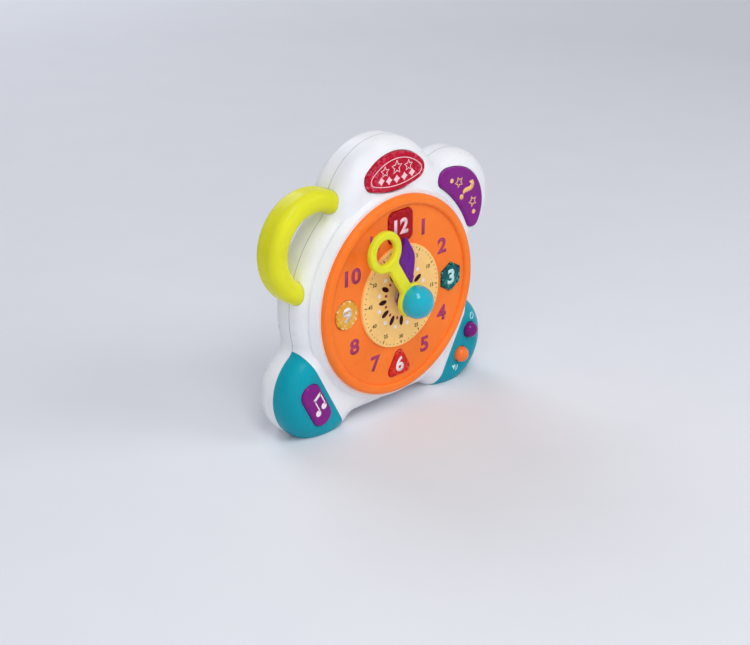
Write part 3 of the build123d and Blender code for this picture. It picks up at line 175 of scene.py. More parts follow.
# %% Colours of the mouldings
white_abs = moulded_abs("ABS_white_case", "#EEEFF3", "#E4E6EC", 0.3, seam=True)
orange_abs = moulded_abs("ABS_orange_dish", "#FE8230", "#F87828", 0.3)
yellow_hand_abs = moulded_abs("ABS_yellow_minute_hand", "#E8E432", "#DCDA2A", 0.26)
purple_hand_abs = moulded_abs("ABS_purple_hour_hand", "#6E1F92", "#641A86", 0.28)
teal_knob_abs = moulded_abs("ABS_teal_knob", "#04AEC4", "#04A3BA", 0.16, coat=0.75)
teal_foot_abs = moulded_abs("ABS_teal_feet", "#0A9CB0", "#0892A6", 0.3)
handle_abs = moulded_abs("ABS_yellow_handle", "#E2E02E", "#D6D526", 0.28)
purple_key_abs = moulded_abs("ABS_purple_keys", "#851688", "#79127C", 0.2, coat=0.2)
plum_dome_abs = moulded_abs("ABS_plum_dome_key", "#740C74", "#6A0A6A", 0.2, coat=0.4)
orange_dome_abs = moulded_abs("ABS_orange_dome_key", "#FA7C36", "#F2722C", 0.22, coat=0.4)
acetal = moulded_abs("acetal_gears", "#E9E5D8", "#DFDACB", 0.42, coat=0.0)
switch_black = moulded_abs("phenolic_switches", "#28282C", "#202024", 0.5, coat=0.0)
lamp_resin = moulded_abs("epoxy_lamps", "#F2F2E6", "#E6E8DC", 0.12, coat=0.4)
print("ABS colours made:", len([m for m in bpy.data.materials if m.name.startswith("ABS")]))

# %% [markdown]
# The disc in the middle of the dial is a flat plastic plate with its yellow printed on. Pad
# printing leaves a surface that is a little duller than the mould's own gloss, with the
# faint mottle of a thin coat of ink. An image could hold that mottle, but one noise texture
# needs no file and no unwrapping. The same recipe makes every other ink.

# %% Printed plate and inks
MOTTLE_MM = 2.6
INK_IOR = 1.5


def printed_plate(name, colour, shade, roughness):
    material, tree = empty_material(name)
    place = add(tree, "ShaderNodeTexCoord").outputs["Object"]
    coat = add(tree, "ShaderNodeTexNoise", {
        "Vector": place, "Scale": per_mm(MOTTLE_MM), "Detail": 4.0})
    cover = add(tree, "ShaderNodeMapRange", {
        "Value": coat.outputs["Fac"], "From Min": 0.3, "From Max": 0.75})
    tone = add(tree, "ShaderNodeMix", {
        0: cover.outputs[0], 6: linear(colour), 7: linear(shade)}, data_type="RGBA")
    rough = add(tree, "ShaderNodeMapRange", {
        "Value": coat.outputs["Fac"], "To Min": roughness - 0.06, "To Max": roughness + 0.08})
    bump = add(tree, "ShaderNodeBump", {
        "Strength": 0.06, "Distance": 0.03 * MM, "Height": coat.outputs["Fac"]})
    shader = add(tree, "ShaderNodeBsdfPrincipled", {
        "Base Color": tone.outputs[2], "Roughness": rough.outputs[0], "IOR": INK_IOR,
        "Specular IOR Level": 0.12, "Normal": bump.outputs[0]})
    add(tree, "ShaderNodeOutputMaterial", {"Surface": shader.outputs[0]})
    return material


yellow_plate = printed_plate("printed_yellow_plate", "#FED084", "#F9C778", 0.4)
numeral_ink = printed_plate("ink_plum_numerals", "#AE4270", "#A63A68", 0.45)
track_ink = printed_plate("ink_brown_minute_track", "#6A5026", "#5E4620", 0.5)
white_ink = printed_plate("ink_white", "#F6EEF0", "#EDE4E8", 0.42)
cream_ink = printed_plate("ink_cream", "#F8C880", "#F1BE74", 0.42)
plum_ink = printed_plate("ink_dark_plum", "#3A0E1C", "#300A17", 0.45)
red_ink = printed_plate("ink_red", "#B8343C", "#AC2C34", 0.45)
pink_ink = printed_plate("ink_pale_pink", "#F9D2DB", "#F2C6D0", 0.42)
pale_ink = printed_plate("ink_pale_aqua", "#CFEFF2", "#C0E6EA", 0.45)
print("inks made:", len([m for m in bpy.data.materials if m.name.startswith("ink")]))

# %% [markdown]
# The number keys and the red key are moulded from tinted clear plastic so that a lamp can
# glow through. Glitter flakes in the melt show as paler and darker specks, and the specks
# thicken in a band along each key's edge. That band is partly painted light: its dark specks
# stand for shade at the key's rim, and its pale specks stand for glints. Clear plastic would
# show the empty space behind it, so the depth is painted as tone, and cells in space make the
# flakes. The band follows the distance from the key's own middle, which a Mapping node brings
# to the origin. A flake is about 0.6 mm; it is drawn at 1.8 mm so that it shows.

# %% Recipe for a tinted key with glitter
FLAKE_MM = 1.8
FLAKE_EDGE = 0.08
MIDDLE_SHARE = 0.12


def glitter_key(name, deep, pale, dark, middle, reach, inner, amount, roughness=0.2):
    material, tree = empty_material(name)
    place = add(tree, "ShaderNodeTexCoord").outputs["Object"]
    back = (-middle[0] * MM, 0.0, -(AXIS_HEIGHT + middle[1]) * MM)
    local = add(tree, "ShaderNodeMapping", {"Vector": place, "Location": back}).outputs[0]
    flat = add(tree, "ShaderNodeVectorMath", {0: local, 1: (1.0, 0.0, 1.0)}, operation="MULTIPLY")
    away = add(tree, "ShaderNodeVectorMath", {0: flat.outputs[0]}, operation="LENGTH")
    # Share of specks, rising towards the edge: partly glitter, partly painted rim shade and
    # painted glints.
    band = add(tree, "ShaderNodeMapRange", {
        "Value": away.outputs["Value"], "From Min": inner * MM, "From Max": reach * MM,
        "To Min": MIDDLE_SHARE * amount, "To Max": amount}).outputs[0]
    cells = add(tree, "ShaderNodeTexVoronoi", {
        "Vector": local, "Scale": per_mm(FLAKE_MM), "Randomness": 0.8})
    chance = add(tree, "ShaderNodeSeparateColor", {0: cells.outputs["Color"]})
    tint = linear(deep)
    for channel, least, colour in ((0, 0.62, pale), (1, 0.66, dark)):
        flake = add(tree, "ShaderNodeMapRange", {
            "Value": chance.outputs[channel], "From Min": least, "From Max": least + FLAKE_EDGE})
        share = add(tree, "ShaderNodeMath", {0: flake.outputs[0], 1: band}, operation="MULTIPLY")
        tint = add(tree, "ShaderNodeMix", {
            0: share.outputs[0], 6: tint, 7: linear(colour)}, data_type="RGBA").outputs[2]
    peel = add(tree, "ShaderNodeTexNoise", {
        "Vector": place, "Scale": per_mm(PEEL_MM), "Detail": 2.0})
    bump = add(tree, "ShaderNodeBump", {
        "Strength": 0.06, "Distance": 0.05 * MM, "Height": peel.outputs["Fac"]})
    rough = add(tree, "ShaderNodeMapRange", {
        "Value": peel.outputs["Fac"], "To Min": roughness - 0.04, "To Max": roughness + 0.06})
    shader = add(tree, "ShaderNodeBsdfPrincipled", {
        "Base Color": tint, "Roughness": rough.outputs[0], "IOR": ABS_IOR,
        "Specular IOR Level": 0.08, "Normal": bump.outputs[0],
        "Coat Weight": 0.06, "Coat Roughness": 0.06})
    add(tree, "ShaderNodeOutputMaterial", {"Surface": shader.outputs[0]})
    return material


# %% [markdown]
# Five keys use the recipe. The amber one keeps its glitter well away from the middle, where
# a white number has to stay readable, and the teal one sparkles almost all over.

# %% Tinted keys
SIX_DROP = 1.5
RED_KEY_UP = 88.0
red_tile = glitter_key(
    "tinted_red_twelve", "#A80A1A", "#C42834", "#860812",
    middle=(0.0, TILE_REACH), reach=14.0, inner=6.0, amount=0.7)
teal_tile = glitter_key(
    "tinted_teal_three", "#085A5E", "#30A29C", "#042E32",
    middle=(TILE_REACH, 0.0), reach=10.0, inner=3.0, amount=1.0)
scarlet_tile = glitter_key(
    "tinted_scarlet_six", "#D2241E", "#E86048", "#AE1814",
    middle=(0.0, -TILE_REACH - SIX_DROP), reach=11.0, inner=4.0, amount=0.9)
amber_tile = glitter_key(
    "tinted_amber_nine", "#E2A436", "#FBE6B4", "#CE8420",
    middle=(-TILE_REACH, 0.0), reach=11.0, inner=6.0, amount=0.9)
red_key = glitter_key(
    "tinted_red_key", "#B8082C", "#E4607E", "#940622",
    middle=(0.0, RED_KEY_UP), reach=32.0, inner=10.0, amount=0.8, roughness=0.18)
print("tinted keys:", [m.name for m in bpy.data.materials if m.name.startswith("tinted")])

# %% [markdown]
# The metal and the boards sit inside, and show only through the screw sockets and the
# grille. Zinc-plated steel is a dull grey metal with a fine grain, and the same recipe with
# less metal makes the painted basket, the pulp cone and the sleeve of a cell. A board is
# green laminate with paler copper tracks under its lacquer. Only glimpses of these show, so
# short recipes do.

# %% Steel, boards and the other inner finishes
TRACK_MM = 5.0


def grained_finish(name, colour, roughness, metallic=1.0, grain_mm=1.2):
    material, tree = empty_material(name)
    place = add(tree, "ShaderNodeTexCoord").outputs["Object"]
    grain = add(tree, "ShaderNodeTexNoise", {
        "Vector": place, "Scale": per_mm(grain_mm), "Detail": 5.0})
    rough = add(tree, "ShaderNodeMapRange", {
        "Value": grain.outputs["Fac"], "To Min": roughness - 0.12, "To Max": roughness + 0.12})
    bump = add(tree, "ShaderNodeBump", {
        "Strength": 0.12, "Distance": 0.04 * MM, "Height": grain.outputs["Fac"]})
    shader = add(tree, "ShaderNodeBsdfPrincipled", {
        "Base Color": linear(colour), "Metallic": metallic, "Roughness": rough.outputs[0],
        "Normal": bump.outputs[0]})
    add(tree, "ShaderNodeOutputMaterial", {"Surface": shader.outputs[0]})
    return material


def board_laminate(name):
    material, tree = empty_material(name)
    place = add(tree, "ShaderNodeTexCoord").outputs["Object"]
    tracks = add(tree, "ShaderNodeTexVoronoi", {
        "Vector": place, "Scale": per_mm(TRACK_MM)}, feature="DISTANCE_TO_EDGE")
    line = add(tree, "ShaderNodeMapRange", {
        "Value": tracks.outputs["Distance"], "From Min": 0.04, "From Max": 0.07})
    tone = add(tree, "ShaderNodeMix", {
        0: line.outputs[0], 6: linear("#4F8F55"), 7: linear("#1F6B3A")}, data_type="RGBA")
    shader = add(tree, "ShaderNodeBsdfPrincipled", {
        "Base Color": tone.outputs[2], "Roughness": 0.35, "IOR": 1.5})
    add(tree, "ShaderNodeOutputMaterial", {"Surface": shader.outputs[0]})
    return material


zinc_steel = grained_finish("zinc_plated_steel", "#B9BCC2", 0.38)
basket_steel = grained_finish("painted_speaker_basket", "#3A3C40", 0.45, metallic=0.2)
cone_pulp = grained_finish("pulp_speaker_cone", "#2B2A2C", 0.75, metallic=0.0, grain_mm=0.8)
cell_sleeve = grained_finish("lacquered_cell_sleeve", "#3E4A58", 0.32, metallic=0.6)
green_board = board_laminate("laminate_green_board")
print("inner finishes:", zinc_steel.name, basket_steel.name, cone_pulp.name, green_board.name)

# %% [markdown]
# Each CAD node keeps its mesh, and only its material slot changes. A list from finish to
# nodes is easier to read than forty lines of assignments.

# %% Dress the CAD nodes
finishes = {
    white_abs: ["front_shell", "rear_shell", "battery_door"],
    orange_abs: ["dial_dish"],
    yellow_plate: ["dial_disc"],
    red_tile: ["tile_twelve"],
    teal_tile: ["tile_three"],
    scarlet_tile: ["tile_six"],
    amber_tile: ["tile_nine"],
    yellow_hand_abs: ["minute_hand"],
    purple_hand_abs: ["hour_hand"],
    teal_knob_abs: ["centre_knob"],
    red_key: ["clock_button"],
    purple_key_abs: ["quiz_button", "foot_button"],
    plum_dome_abs: ["upper_dome_button"],
    orange_dome_abs: ["lower_dome_button"],
    teal_foot_abs: ["foot_cap_left", "foot_cap_right"],
    handle_abs: ["carry_handle"],
    acetal: ["minute_arbor", "hour_wheel", "intermediate_wheel", "gear_bridge"],
    zinc_steel: [
        "gear_stud", "bridge_screws", "board_screws", "housing_screws", "door_screw",
        "battery_contacts"],
    green_board: ["dial_board", "lobe_board", "ear_board", "left_foot_board", "right_foot_board"],
    switch_black: ["dial_switches", "key_switches"],
    lamp_resin: ["dial_lamps"],
    basket_steel: ["speaker_frame", "speaker_magnet"],
    cone_pulp: ["speaker_cone"],
    cell_sleeve: ["battery_cells"],
}
for finish, names in finishes.items():
    for name in names:
        nodes[name].data.materials.clear()
        nodes[name].data.materials.append(finish)
print("nodes dressed:", sum(len(names) for names in finishes.values()), "of", len(nodes))

# %% [markdown]
# Printed figures start as text, because a font already holds good numerals. The text gets a
# heavier outline and is made a mesh, which is centred and scaled to its real height. Then it
# gets a thin body of ink, and only after that goes to its place.

# %% Text made a mesh with a body of ink
def plain_mesh(holder):
    """Mesh of what an object evaluates to. The object itself goes away."""
    bpy.context.scene.collection.objects.link(holder)
    graph = bpy.context.evaluated_depsgraph_get()
    mesh = bpy.data.meshes.new_from_object(holder.evaluated_get(graph))
    data = holder.data
    bpy.data.objects.remove(holder)
    if isinstance(data, bpy.types.Curve):
        bpy.data.curves.remove(data)
    else:
        bpy.data.meshes.remove(data)
    return mesh


def thicken(mesh):
    """Gives a flat drawing in the XY plane a body of ink, with its back just in the surface."""
    shape = bmesh.new()
    shape.from_mesh(mesh)
    bmesh.ops.remove_doubles(shape, verts=shape.verts, dist=1e-4)
    bmesh.ops.recalc_face_normals(shape, faces=shape.faces)
    for face in shape.faces:
        if face.normal.z < 0:
            face.normal_flip()
    top = bmesh.ops.extrude_face_region(shape, geom=list(shape.faces))
    raised = [v for v in top["geom"] if isinstance(v, bmesh.types.BMVert)]
    bmesh.ops.translate(shape, verts=raised, vec=(0.0, 0.0, 1.0))
    low = min(v.co.z for v in shape.verts)
    for vert in shape.verts:
        vert.co.z = INK if vert.co.z > low + 0.5 else -INK / 3
    bmesh.ops.recalc_face_normals(shape, faces=shape.faces)
    shape.to_mesh(mesh)
    shape.free()


def figure(words, height, place, weight=0.035, spread=1.0):
    text = bpy.data.curves.new("figure", "FONT")
    text.body = words
    text.offset = weight
    text.space_character = 1.05
    mesh = plain_mesh(bpy.data.objects.new("figure", text))
    low = Vector([min(v.co[k] for v in mesh.vertices) for k in range(3)])
    high = Vector([max(v.co[k] for v in mesh.vertices) for k in range(3)])
    size = height / (high.y - low.y)
    middle = (low + high) / 2
    scaled = Matrix.Diagonal((size * spread, size, 1.0, 1.0))
    mesh.transform(scaled @ Matrix.Translation(-middle))
    thicken(mesh)
    mesh.transform(place)
    return mesh


print("ink stands", INK, "mm proud of the plastic")

# %% [markdown]
# All prints of one colour on one moving body become one piece. It sits at the origin with
# its place in its mesh, as the CAD nodes do, and rides on its body, so a sign on a key goes
# in with that key.

# %% A piece that rides on a body
def piece(name, meshes, material, body):
    joined = bmesh.new()
    for mesh in meshes:
        joined.from_mesh(mesh)
        bpy.data.meshes.remove(mesh)
    data = bpy.data.meshes.new(name)
    joined.to_mesh(data)
    joined.free()
    data.materials.clear()
    data.materials.append(material)
    made = bpy.data.objects.new(name, data)
    bpy.context.scene.collection.objects.link(made)
    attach(made, body)
    print(name, "has", len(data.polygons), "faces")
    return made


# %% [markdown]
# The hours stand upright round the dish in plum ink, with the four light-up keys in the
# places of twelve, three, six and nine. A dial could be laid out by angle alone, but these
# figures stand a little nearer to the upright middle line than that, so each hour has a
# nudge across, in mm. The eleven is set narrow, because it stands behind the finger ring of
# the minute hand.

# %% Hour numerals
NUMERAL_REACH = 52.3
NUMERAL_HEIGHT = 11.8
NUMERAL_SPREAD = 1.15
ELEVEN_SPREAD = 0.8
NUMERAL_NUDGE = {1: -3.0, 2: -2.6, 4: -1.8, 5: 0.0, 7: 2.9, 8: 1.6, 10: 0.0, 11: 1.6}
numerals = []
for hour, nudge in NUMERAL_NUDGE.items():
    across, up = clock_point(NUMERAL_REACH, 30 * hour)
    place = on_dial(across + nudge, up, FLOOR_DEPTH)
    spread = ELEVEN_SPREAD if hour == 11 else NUMERAL_SPREAD
    numerals.append(figure(str(hour), NUMERAL_HEIGHT, place, spread=spread))
piece("hour_numerals", numerals, numeral_ink, "clock_body")

# %% [markdown]
# The light-up keys carry their own numbers, printed pale on the tinted plastic. Each number
# has to go in with its key, so it is a piece of its own on that key's body. The six sits
# low, where its three-cornered key is wide enough for it.

# %% Numerals on the light-up keys
KEY_FIGURE_HEIGHT = 11.6
KEY_FIGURE_SPREAD = 1.05
SIX_FIGURE_UP = -TILE_REACH - 0.8
key_figures = {
    "12": ("twelve_key", "red_lens", (0.0, TILE_REACH), 0.04, pink_ink),
    "3": ("three_key", "teal_lens", (TILE_REACH, 0.0), 0.04, pale_ink),
    "6": ("six_key", "red_lens", (0.0, SIX_FIGURE_UP), 0.03, white_ink),
    "9": ("nine_key", "amber_lens", (-TILE_REACH, 0.0), 0.04, white_ink),
}
for words, (body, slot, (across, up), weight, ink) in key_figures.items():
    place = on_dial(across, up, TILE_DEPTH)
    mesh = figure(words, KEY_FIGURE_HEIGHT, place, weight, KEY_FIGURE_SPREAD)
    piece("figure_" + body, [mesh], ink, body)

# %% [markdown]
# The yellow plate counts the minutes by fives in small brown figures. The plate never moves,
# so all twelve become one piece on the clock's body.

# %% Small minute numbers on the yellow plate
MINUTE_REACH = 30.6
MINUTE_HEIGHT = 2.9
minutes = []
for five in range(1, 13):
    across, up = clock_point(MINUTE_REACH, 30 * five)
    place = on_dial(across, up, DISC_DEPTH)
    minutes.append(figure(str(5 * five), MINUTE_HEIGHT, place, weight=0.02))
piece("minute_numbers", minutes, track_ink, "clock_body")

# %% [markdown]
# The minute track is sixty marks on one ring, and the ornament round the middle is more
# rings of the same kind, so one Geometry Nodes tree makes them all. It puts an oval mark on
# each point of a circle, turned to point outwards, and can leave out every fifth mark for
# the longer stroke that stands there.

# %% Tree for a ring of printed marks
def ring_tree():
    tree = bpy.data.node_groups.new("ring_of_marks", "GeometryNodeTree")
    wanted = [
        ("Count", "NodeSocketInt"), ("Ring Radius", "NodeSocketFloat"),
        ("Mark Width", "NodeSocketFloat"), ("Mark Length", "NodeSocketFloat"),
        ("Ink Height", "NodeSocketFloat"), ("First", "NodeSocketInt"),
        ("Leave Out Every", "NodeSocketInt"), ("Ink", "NodeSocketMaterial")]
    for label, kind in wanted:
        tree.interface.new_socket(label, in_out="INPUT", socket_type=kind)
    tree.interface.new_socket("Marks", in_out="OUTPUT", socket_type="NodeSocketGeometry")
    given = add(tree, "NodeGroupInput").outputs
    circle = add(tree, "GeometryNodeMeshCircle", {
        "Vertices": given["Count"], "Radius": given["Ring Radius"]})
    mark = add(tree, "GeometryNodeMeshCylinder", {"Vertices": 20, "Radius": 0.5, "Depth": 1.0})
    size = add(tree, "ShaderNodeCombineXYZ", {
        "X": given["Mark Width"], "Y": given["Mark Length"], "Z": given["Ink Height"]})
    spot = add(tree, "GeometryNodeInputPosition").outputs[0]
    outward = add(tree, "FunctionNodeAlignRotationToVector", {
        "Vector": spot}, axis="Y", pivot_axis="Z")
    index = add(tree, "GeometryNodeInputIndex").outputs[0]
    counted = add(tree, "ShaderNodeMath", {0: index, 1: given["First"]}, operation="ADD")
    keep = add(tree, "ShaderNodeMath", {
        0: counted.outputs[0], 1: given["Leave Out Every"]}, operation="MODULO")
    marks = add(tree, "GeometryNodeInstanceOnPoints", {
        "Points": circle.outputs[0], "Selection": keep.outputs[0],
        "Instance": mark.outputs["Mesh"], "Rotation": outward.outputs[0],
        "Scale": size.outputs[0]})
    real = add(tree, "GeometryNodeRealizeInstances", {0: marks.outputs[0]})
    inked = add(tree, "GeometryNodeSetMaterial", {
        "Geometry": real.outputs[0], "Material": given["Ink"]})
    add(tree, "NodeGroupOutput", {"Marks": inked.outputs[0]})
    return tree


marks_tree = ring_tree()
print("ring tree has", len(marks_tree.nodes), "nodes")

# %% [markdown]
# A tree only runs as a modifier on an object. Its inputs are set by their identifiers, the
# object is evaluated once, and the result is kept as a plain mesh. A ring is then laid on
# the dial like any other drawing.

# %% Rings of marks as plain meshes
NEVER = 1000


def from_tree(tree, values, data=None):
    holder = bpy.data.objects.new("marks", data or bpy.data.meshes.new("marks"))
    modifier = holder.modifiers.new("marks", "NODES")
    modifier.node_group = tree
    for item in tree.interface.items_tree:
        if item.in_out == "INPUT" and item.name in values:
            modifier[item.identifier] = values[item.name]
    return plain_mesh(holder)


def ring(count, radius, width, length, ink, start=0.0, first=1, leave_out=NEVER):
    mesh = from_tree(marks_tree, {
        "Count": count, "Ring Radius": radius, "Mark Width": width, "Mark Length": length,
        "Ink Height": 2 * INK, "First": first, "Leave Out Every": leave_out, "Ink": ink})
    mesh.transform(on_dial(0.0, 0.0, DISC_DEPTH, start))
    return mesh


# %% [markdown]
# The track has a dot for each minute, and a stroke in place of each fifth dot. Placed one by
# one that would be sixty lines, and with the tree it is two rings.

# %% Minute track
TRACK_RADIUS = 35.6
STROKE_RADIUS = TRACK_RADIUS - 0.7
dots = ring(60, TRACK_RADIUS, 0.75, 0.75, track_ink, first=0, leave_out=5)
strokes = ring(12, STROKE_RADIUS, 0.8, 2.6, track_ink)
piece("minute_track", [dots, strokes], track_ink, "clock_body")

# %% [markdown]
# The middle of the plate carries a plain rosette: dark petals that point to the hours, with
# white dots and red dots between them. It is only a printed ornament, so rings of ovals do.

# %% Rosette round the middle
PETAL_REACH = 18.5
WHITE_DOT_REACH = 22.5
RED_DOT_REACH = PETAL_REACH - 2.6
BETWEEN = 15.0
petals = ring(12, PETAL_REACH, 3.6, 7.4, plum_ink)
piece("rosette_petals", [petals], plum_ink, "clock_body")
white_dots = ring(12, WHITE_DOT_REACH, 3.0, 3.0, white_ink, BETWEEN)
piece("rosette_white_dots", [white_dots], white_ink, "clock_body")
red_dots = ring(12, RED_DOT_REACH, 2.0, 2.6, red_ink, BETWEEN)
piece("rosette_red_dots", [red_dots], red_ink, "clock_body")

# %% [markdown]
# The keys carry plain signs: stars inside a pale line on the red key, a question mark on
# the ear key, a note on the left foot, and the usual power and loudness signs beside the
# round keys. The lines follow paths, so a second small tree sweeps a flat strip of ink along
# a curve.

# %% Tree for a printed line
def line_tree():
    tree = bpy.data.node_groups.new("printed_line", "GeometryNodeTree")
    for label, kind in [("Path", "NodeSocketGeometry"), ("Line Width", "NodeSocketFloat"),
                        ("Ink Height", "NodeSocketFloat"), ("Ink", "NodeSocketMaterial")]:
        tree.interface.new_socket(label, in_out="INPUT", socket_type=kind)
    tree.interface.new_socket("Line", in_out="OUTPUT", socket_type="NodeSocketGeometry")
    given = add(tree, "NodeGroupInput").outputs
    flat = add(tree, "GeometryNodeSetCurveNormal", {"Curve": given["Path"]}, mode="Z_UP")
    strip = add(tree, "GeometryNodeCurvePrimitiveQuadrilateral", {
        "Width": given["Line Width"], "Height": given["Ink Height"]})
    swept = add(tree, "GeometryNodeCurveToMesh", {
        "Curve": flat.outputs[0], "Profile Curve": strip.outputs[0], "Fill Caps": True})
    real = add(tree, "GeometryNodeRealizeInstances", {0: swept.outputs[0]})
    inked = add(tree, "GeometryNodeSetMaterial", {
        "Geometry": real.outputs[0], "Material": given["Ink"]})
    add(tree, "NodeGroupOutput", {"Line": inked.outputs[0]})
    return tree


path_tree = line_tree()


def printed_line(points, width, ink, place, closed=False):
    path = bpy.data.curves.new("path", "CURVE")
    path.dimensions = "3D"
    spline = path.splines.new("POLY")
    spline.points.add(len(points) - 1)
    for point, (across, up) in zip(spline.points, points):
        point.co = (across, up, 0.0, 1.0)
    spline.use_cyclic_u = closed
    mesh = from_tree(path_tree, {"Line Width": width, "Ink Height": 2 * INK, "Ink": ink}, path)
    mesh.transform(place)
    return mesh


print("line tree has", len(path_tree.nodes), "nodes")

# %% [markdown]
# Filled signs are drawn corner by corner as one flat face, which then gets its body of ink.
# Arcs, dots and stars only have to give their points, so the same points serve for a filled
# sign and for an outline.

# %% Filled shapes, arcs, dots and stars
def flat_shape(points, place):
    mesh = bpy.data.meshes.new("shape")
    corners = [(across, up, 0.0) for across, up in points]
    mesh.from_pydata(corners, [], [list(range(len(points)))])
    thicken(mesh)
    mesh.transform(place)
    return mesh


def arc(middle, radius, start, end, steps=24):
    """Points on an arc, in degrees anticlockwise from the right."""
    turns = [math.radians(start + (end - start) * k / steps) for k in range(steps + 1)]
    return [(middle[0] + radius * math.cos(t), middle[1] + radius * math.sin(t)) for t in turns]


def dot(middle, radius):
    return arc(middle, radius, 0.0, 345.0, 23)


def star(middle, radius, waist=0.46, corners=5):
    points = []
    for k in range(2 * corners):
        reach = radius if k % 2 == 0 else radius * waist
        across, up = clock_point(reach, 180 * k / corners)
        points.append((middle[0] + across, middle[1] + up))
    return points


# %% [markdown]
# The red key is an oval with a round top, a gently bowed base and round corners. The pale
# line on it could be a scaled copy of that outline, but then it would come nearer to the
# edge at the ends. Built from the same arcs, each moved inwards, it keeps its distance.

# %% Outline of the red key
CLOCK_KEY_UP = 66.0
CLOCK_KEY_RADIUS = 38.0
CLOCK_BASE_UP = 146.3
CLOCK_BASE_RADIUS = 70.0
CLOCK_CORNER = 8.0


def red_key_line(inset):
    top, base = CLOCK_KEY_RADIUS - CLOCK_CORNER, CLOCK_BASE_RADIUS - CLOCK_CORNER
    gap = CLOCK_BASE_UP - CLOCK_KEY_UP
    rise = (top ** 2 - base ** 2 + gap ** 2) / (2 * gap)
    side = math.sqrt(top ** 2 - rise ** 2)
    lean = math.degrees(math.atan2(rise, side))
    dip = math.degrees(math.atan2(rise - gap, side))
    corner = CLOCK_CORNER - inset
    round_top = arc((0.0, CLOCK_KEY_UP), CLOCK_KEY_RADIUS - inset, lean, 180.0 - lean, 60)
    bow = arc((0.0, CLOCK_BASE_UP), CLOCK_BASE_RADIUS - inset, -180.0 - dip, dip, 16)
    points = arc((side, CLOCK_KEY_UP + rise), corner, dip, lean, 10) + round_top[1:-1]
    points += arc((-side, CLOCK_KEY_UP + rise), corner, 180.0 - lean, 180.0 - dip, 10)
    return points + bow[1:-1]


print("the pale line has", len(red_key_line(0.0)), "points")

# %% [markdown]
# Inside the line stand three outlined stars, the middle one taller, over a row of filled
# four-cornered sparks that hangs in a shallow bow.

# %% Signs on the red key
LINE_INSET = 4.2
TALL_STAR_UP = 93.4
STAR_UP = 92.4
STAR_STEP = 11.4
SPARK_UP = 85.0
SPARK_STEP = 7.4
SPARK_BOW = 0.36
upright = on_dial(0.0, 0.0, KEY_DEPTH)
tall_star = star((0.0, TALL_STAR_UP), 5.0)
signs = [
    printed_line(red_key_line(LINE_INSET), 0.6, pink_ink, upright, closed=True),
    printed_line(tall_star, 0.8, pink_ink, upright, closed=True),
]
for side in (-1, 1):
    side_star = star((side * STAR_STEP, STAR_UP), 4.0)
    signs.append(printed_line(side_star, 0.7, pink_ink, upright, closed=True))
for step in range(-2, 3):
    spark = star((step * SPARK_STEP, SPARK_UP + SPARK_BOW * step ** 2), 3.1, 0.6, 4)
    signs.append(flat_shape(spark, upright))
piece("red_key_signs", signs, pink_ink, "clock_key")

# %% [markdown]
# The purple key follows the ear, so its signs lean outwards with it. They are drawn upright
# and turned as a whole: a question mark in the middle, with a star and a dot at each side.

# %% Signs on the ear key
EAR_INNER = 81.3
EAR_TURN = 50.3
QUESTION_OUT = 12.0
EAR_STAR = (11.6, 10.5)
EAR_DOT = (18.6, 6.4)
slanted = on_dial(0.0, 0.0, KEY_DEPTH, EAR_TURN)
across, up = clock_point(EAR_INNER + QUESTION_OUT, EAR_TURN)
place = on_dial(across, up, KEY_DEPTH, EAR_TURN)
ear = [figure("?", 17.5, place, weight=0.02, spread=1.15)]
for side in (-1, 1):
    ear_star = star((side * EAR_STAR[0], EAR_INNER + EAR_STAR[1]), 4.0)
    ear.append(printed_line(ear_star, 0.9, cream_ink, slanted, closed=True))
    ear_dot = dot((side * EAR_DOT[0], EAR_INNER + EAR_DOT[1]), 1.7)
    ear.append(flat_shape(ear_dot, slanted))
piece("ear_key_signs", ear, cream_ink, "quiz_key")

# %% [markdown]
# The feet are crowned, so a flat sign would sink at one side and float at the other. A
# Shrinkwrap modifier would bend the sign but flatten its ink. So each point is cast straight
# back on to the foot and stops just in front of it, or just inside for the back of the ink.

# %% Places on a foot
SEAM_X = 64.0
SEAM_DROP = 56.5
SEAM_TURN = 28.5
CAST_FROM = -0.1


def on_foot(side, along, out, depth):
    """Place on a foot, counted along the edge that it shares with the case and out from it."""
    turn = math.radians(SEAM_TURN)
    across = SEAM_X + along * math.sin(turn) + out * math.cos(turn)
    up = -SEAM_DROP + along * math.cos(turn) - out * math.sin(turn)
    return on_dial(side * across, up, depth, side * SEAM_TURN)


def lay_on(mesh, node):
    front = min(v.co.y for v in mesh.vertices)
    for vert in mesh.vertices:
        start = Vector((vert.co.x, CAST_FROM, vert.co.z))
        hit, place, normal, face = nodes[node].ray_cast(start, Vector((0, 1, 0)))
        if hit:
            ink = INK * MM if vert.co.y < front + INK * MM / 2 else -INK * MM / 2
            vert.co.y = place.y - ink


# %% [markdown]
# The right foot has two round keys. The sign for power, a broken ring with a stroke, stands
# above the upper one, and a small horn with two waves below the lower one means loudness.

# %% Signs on the right foot
FOOT_SIGN_DEPTH = 8.0
power = on_foot(1, 22.0, 10.2, FOOT_SIGN_DEPTH)
loud = on_foot(1, -18.4, 11.0, FOOT_SIGN_DEPTH)
horn = [(-2.6, -0.8), (-1.4, -0.8), (0.2, -2.2), (0.2, 2.2), (-1.4, 0.8), (-2.6, 0.8)]
foot_signs = [
    printed_line(arc((0, 0), 2.3, 125.0, 415.0), 0.7, pale_ink, power),
    printed_line([(0.0, 0.5), (0.0, 3.0)], 0.7, pale_ink, power),
    flat_shape(horn, loud),
    printed_line(arc((0, 0), 1.8, -45.0, 45.0, 10), 0.6, pale_ink, loud),
    printed_line(arc((0, 0), 3.2, -45.0, 45.0, 12), 0.6, pale_ink, loud),
]
for mesh in foot_signs:
    lay_on(mesh, "foot_cap_right")
piece("right_foot_signs", foot_signs, pale_ink, "clock_body")

# %% [markdown]
# The key on the left foot plays tunes, so it shows two notes under one beam. Its face is
# flat, and the sign needs no casting.

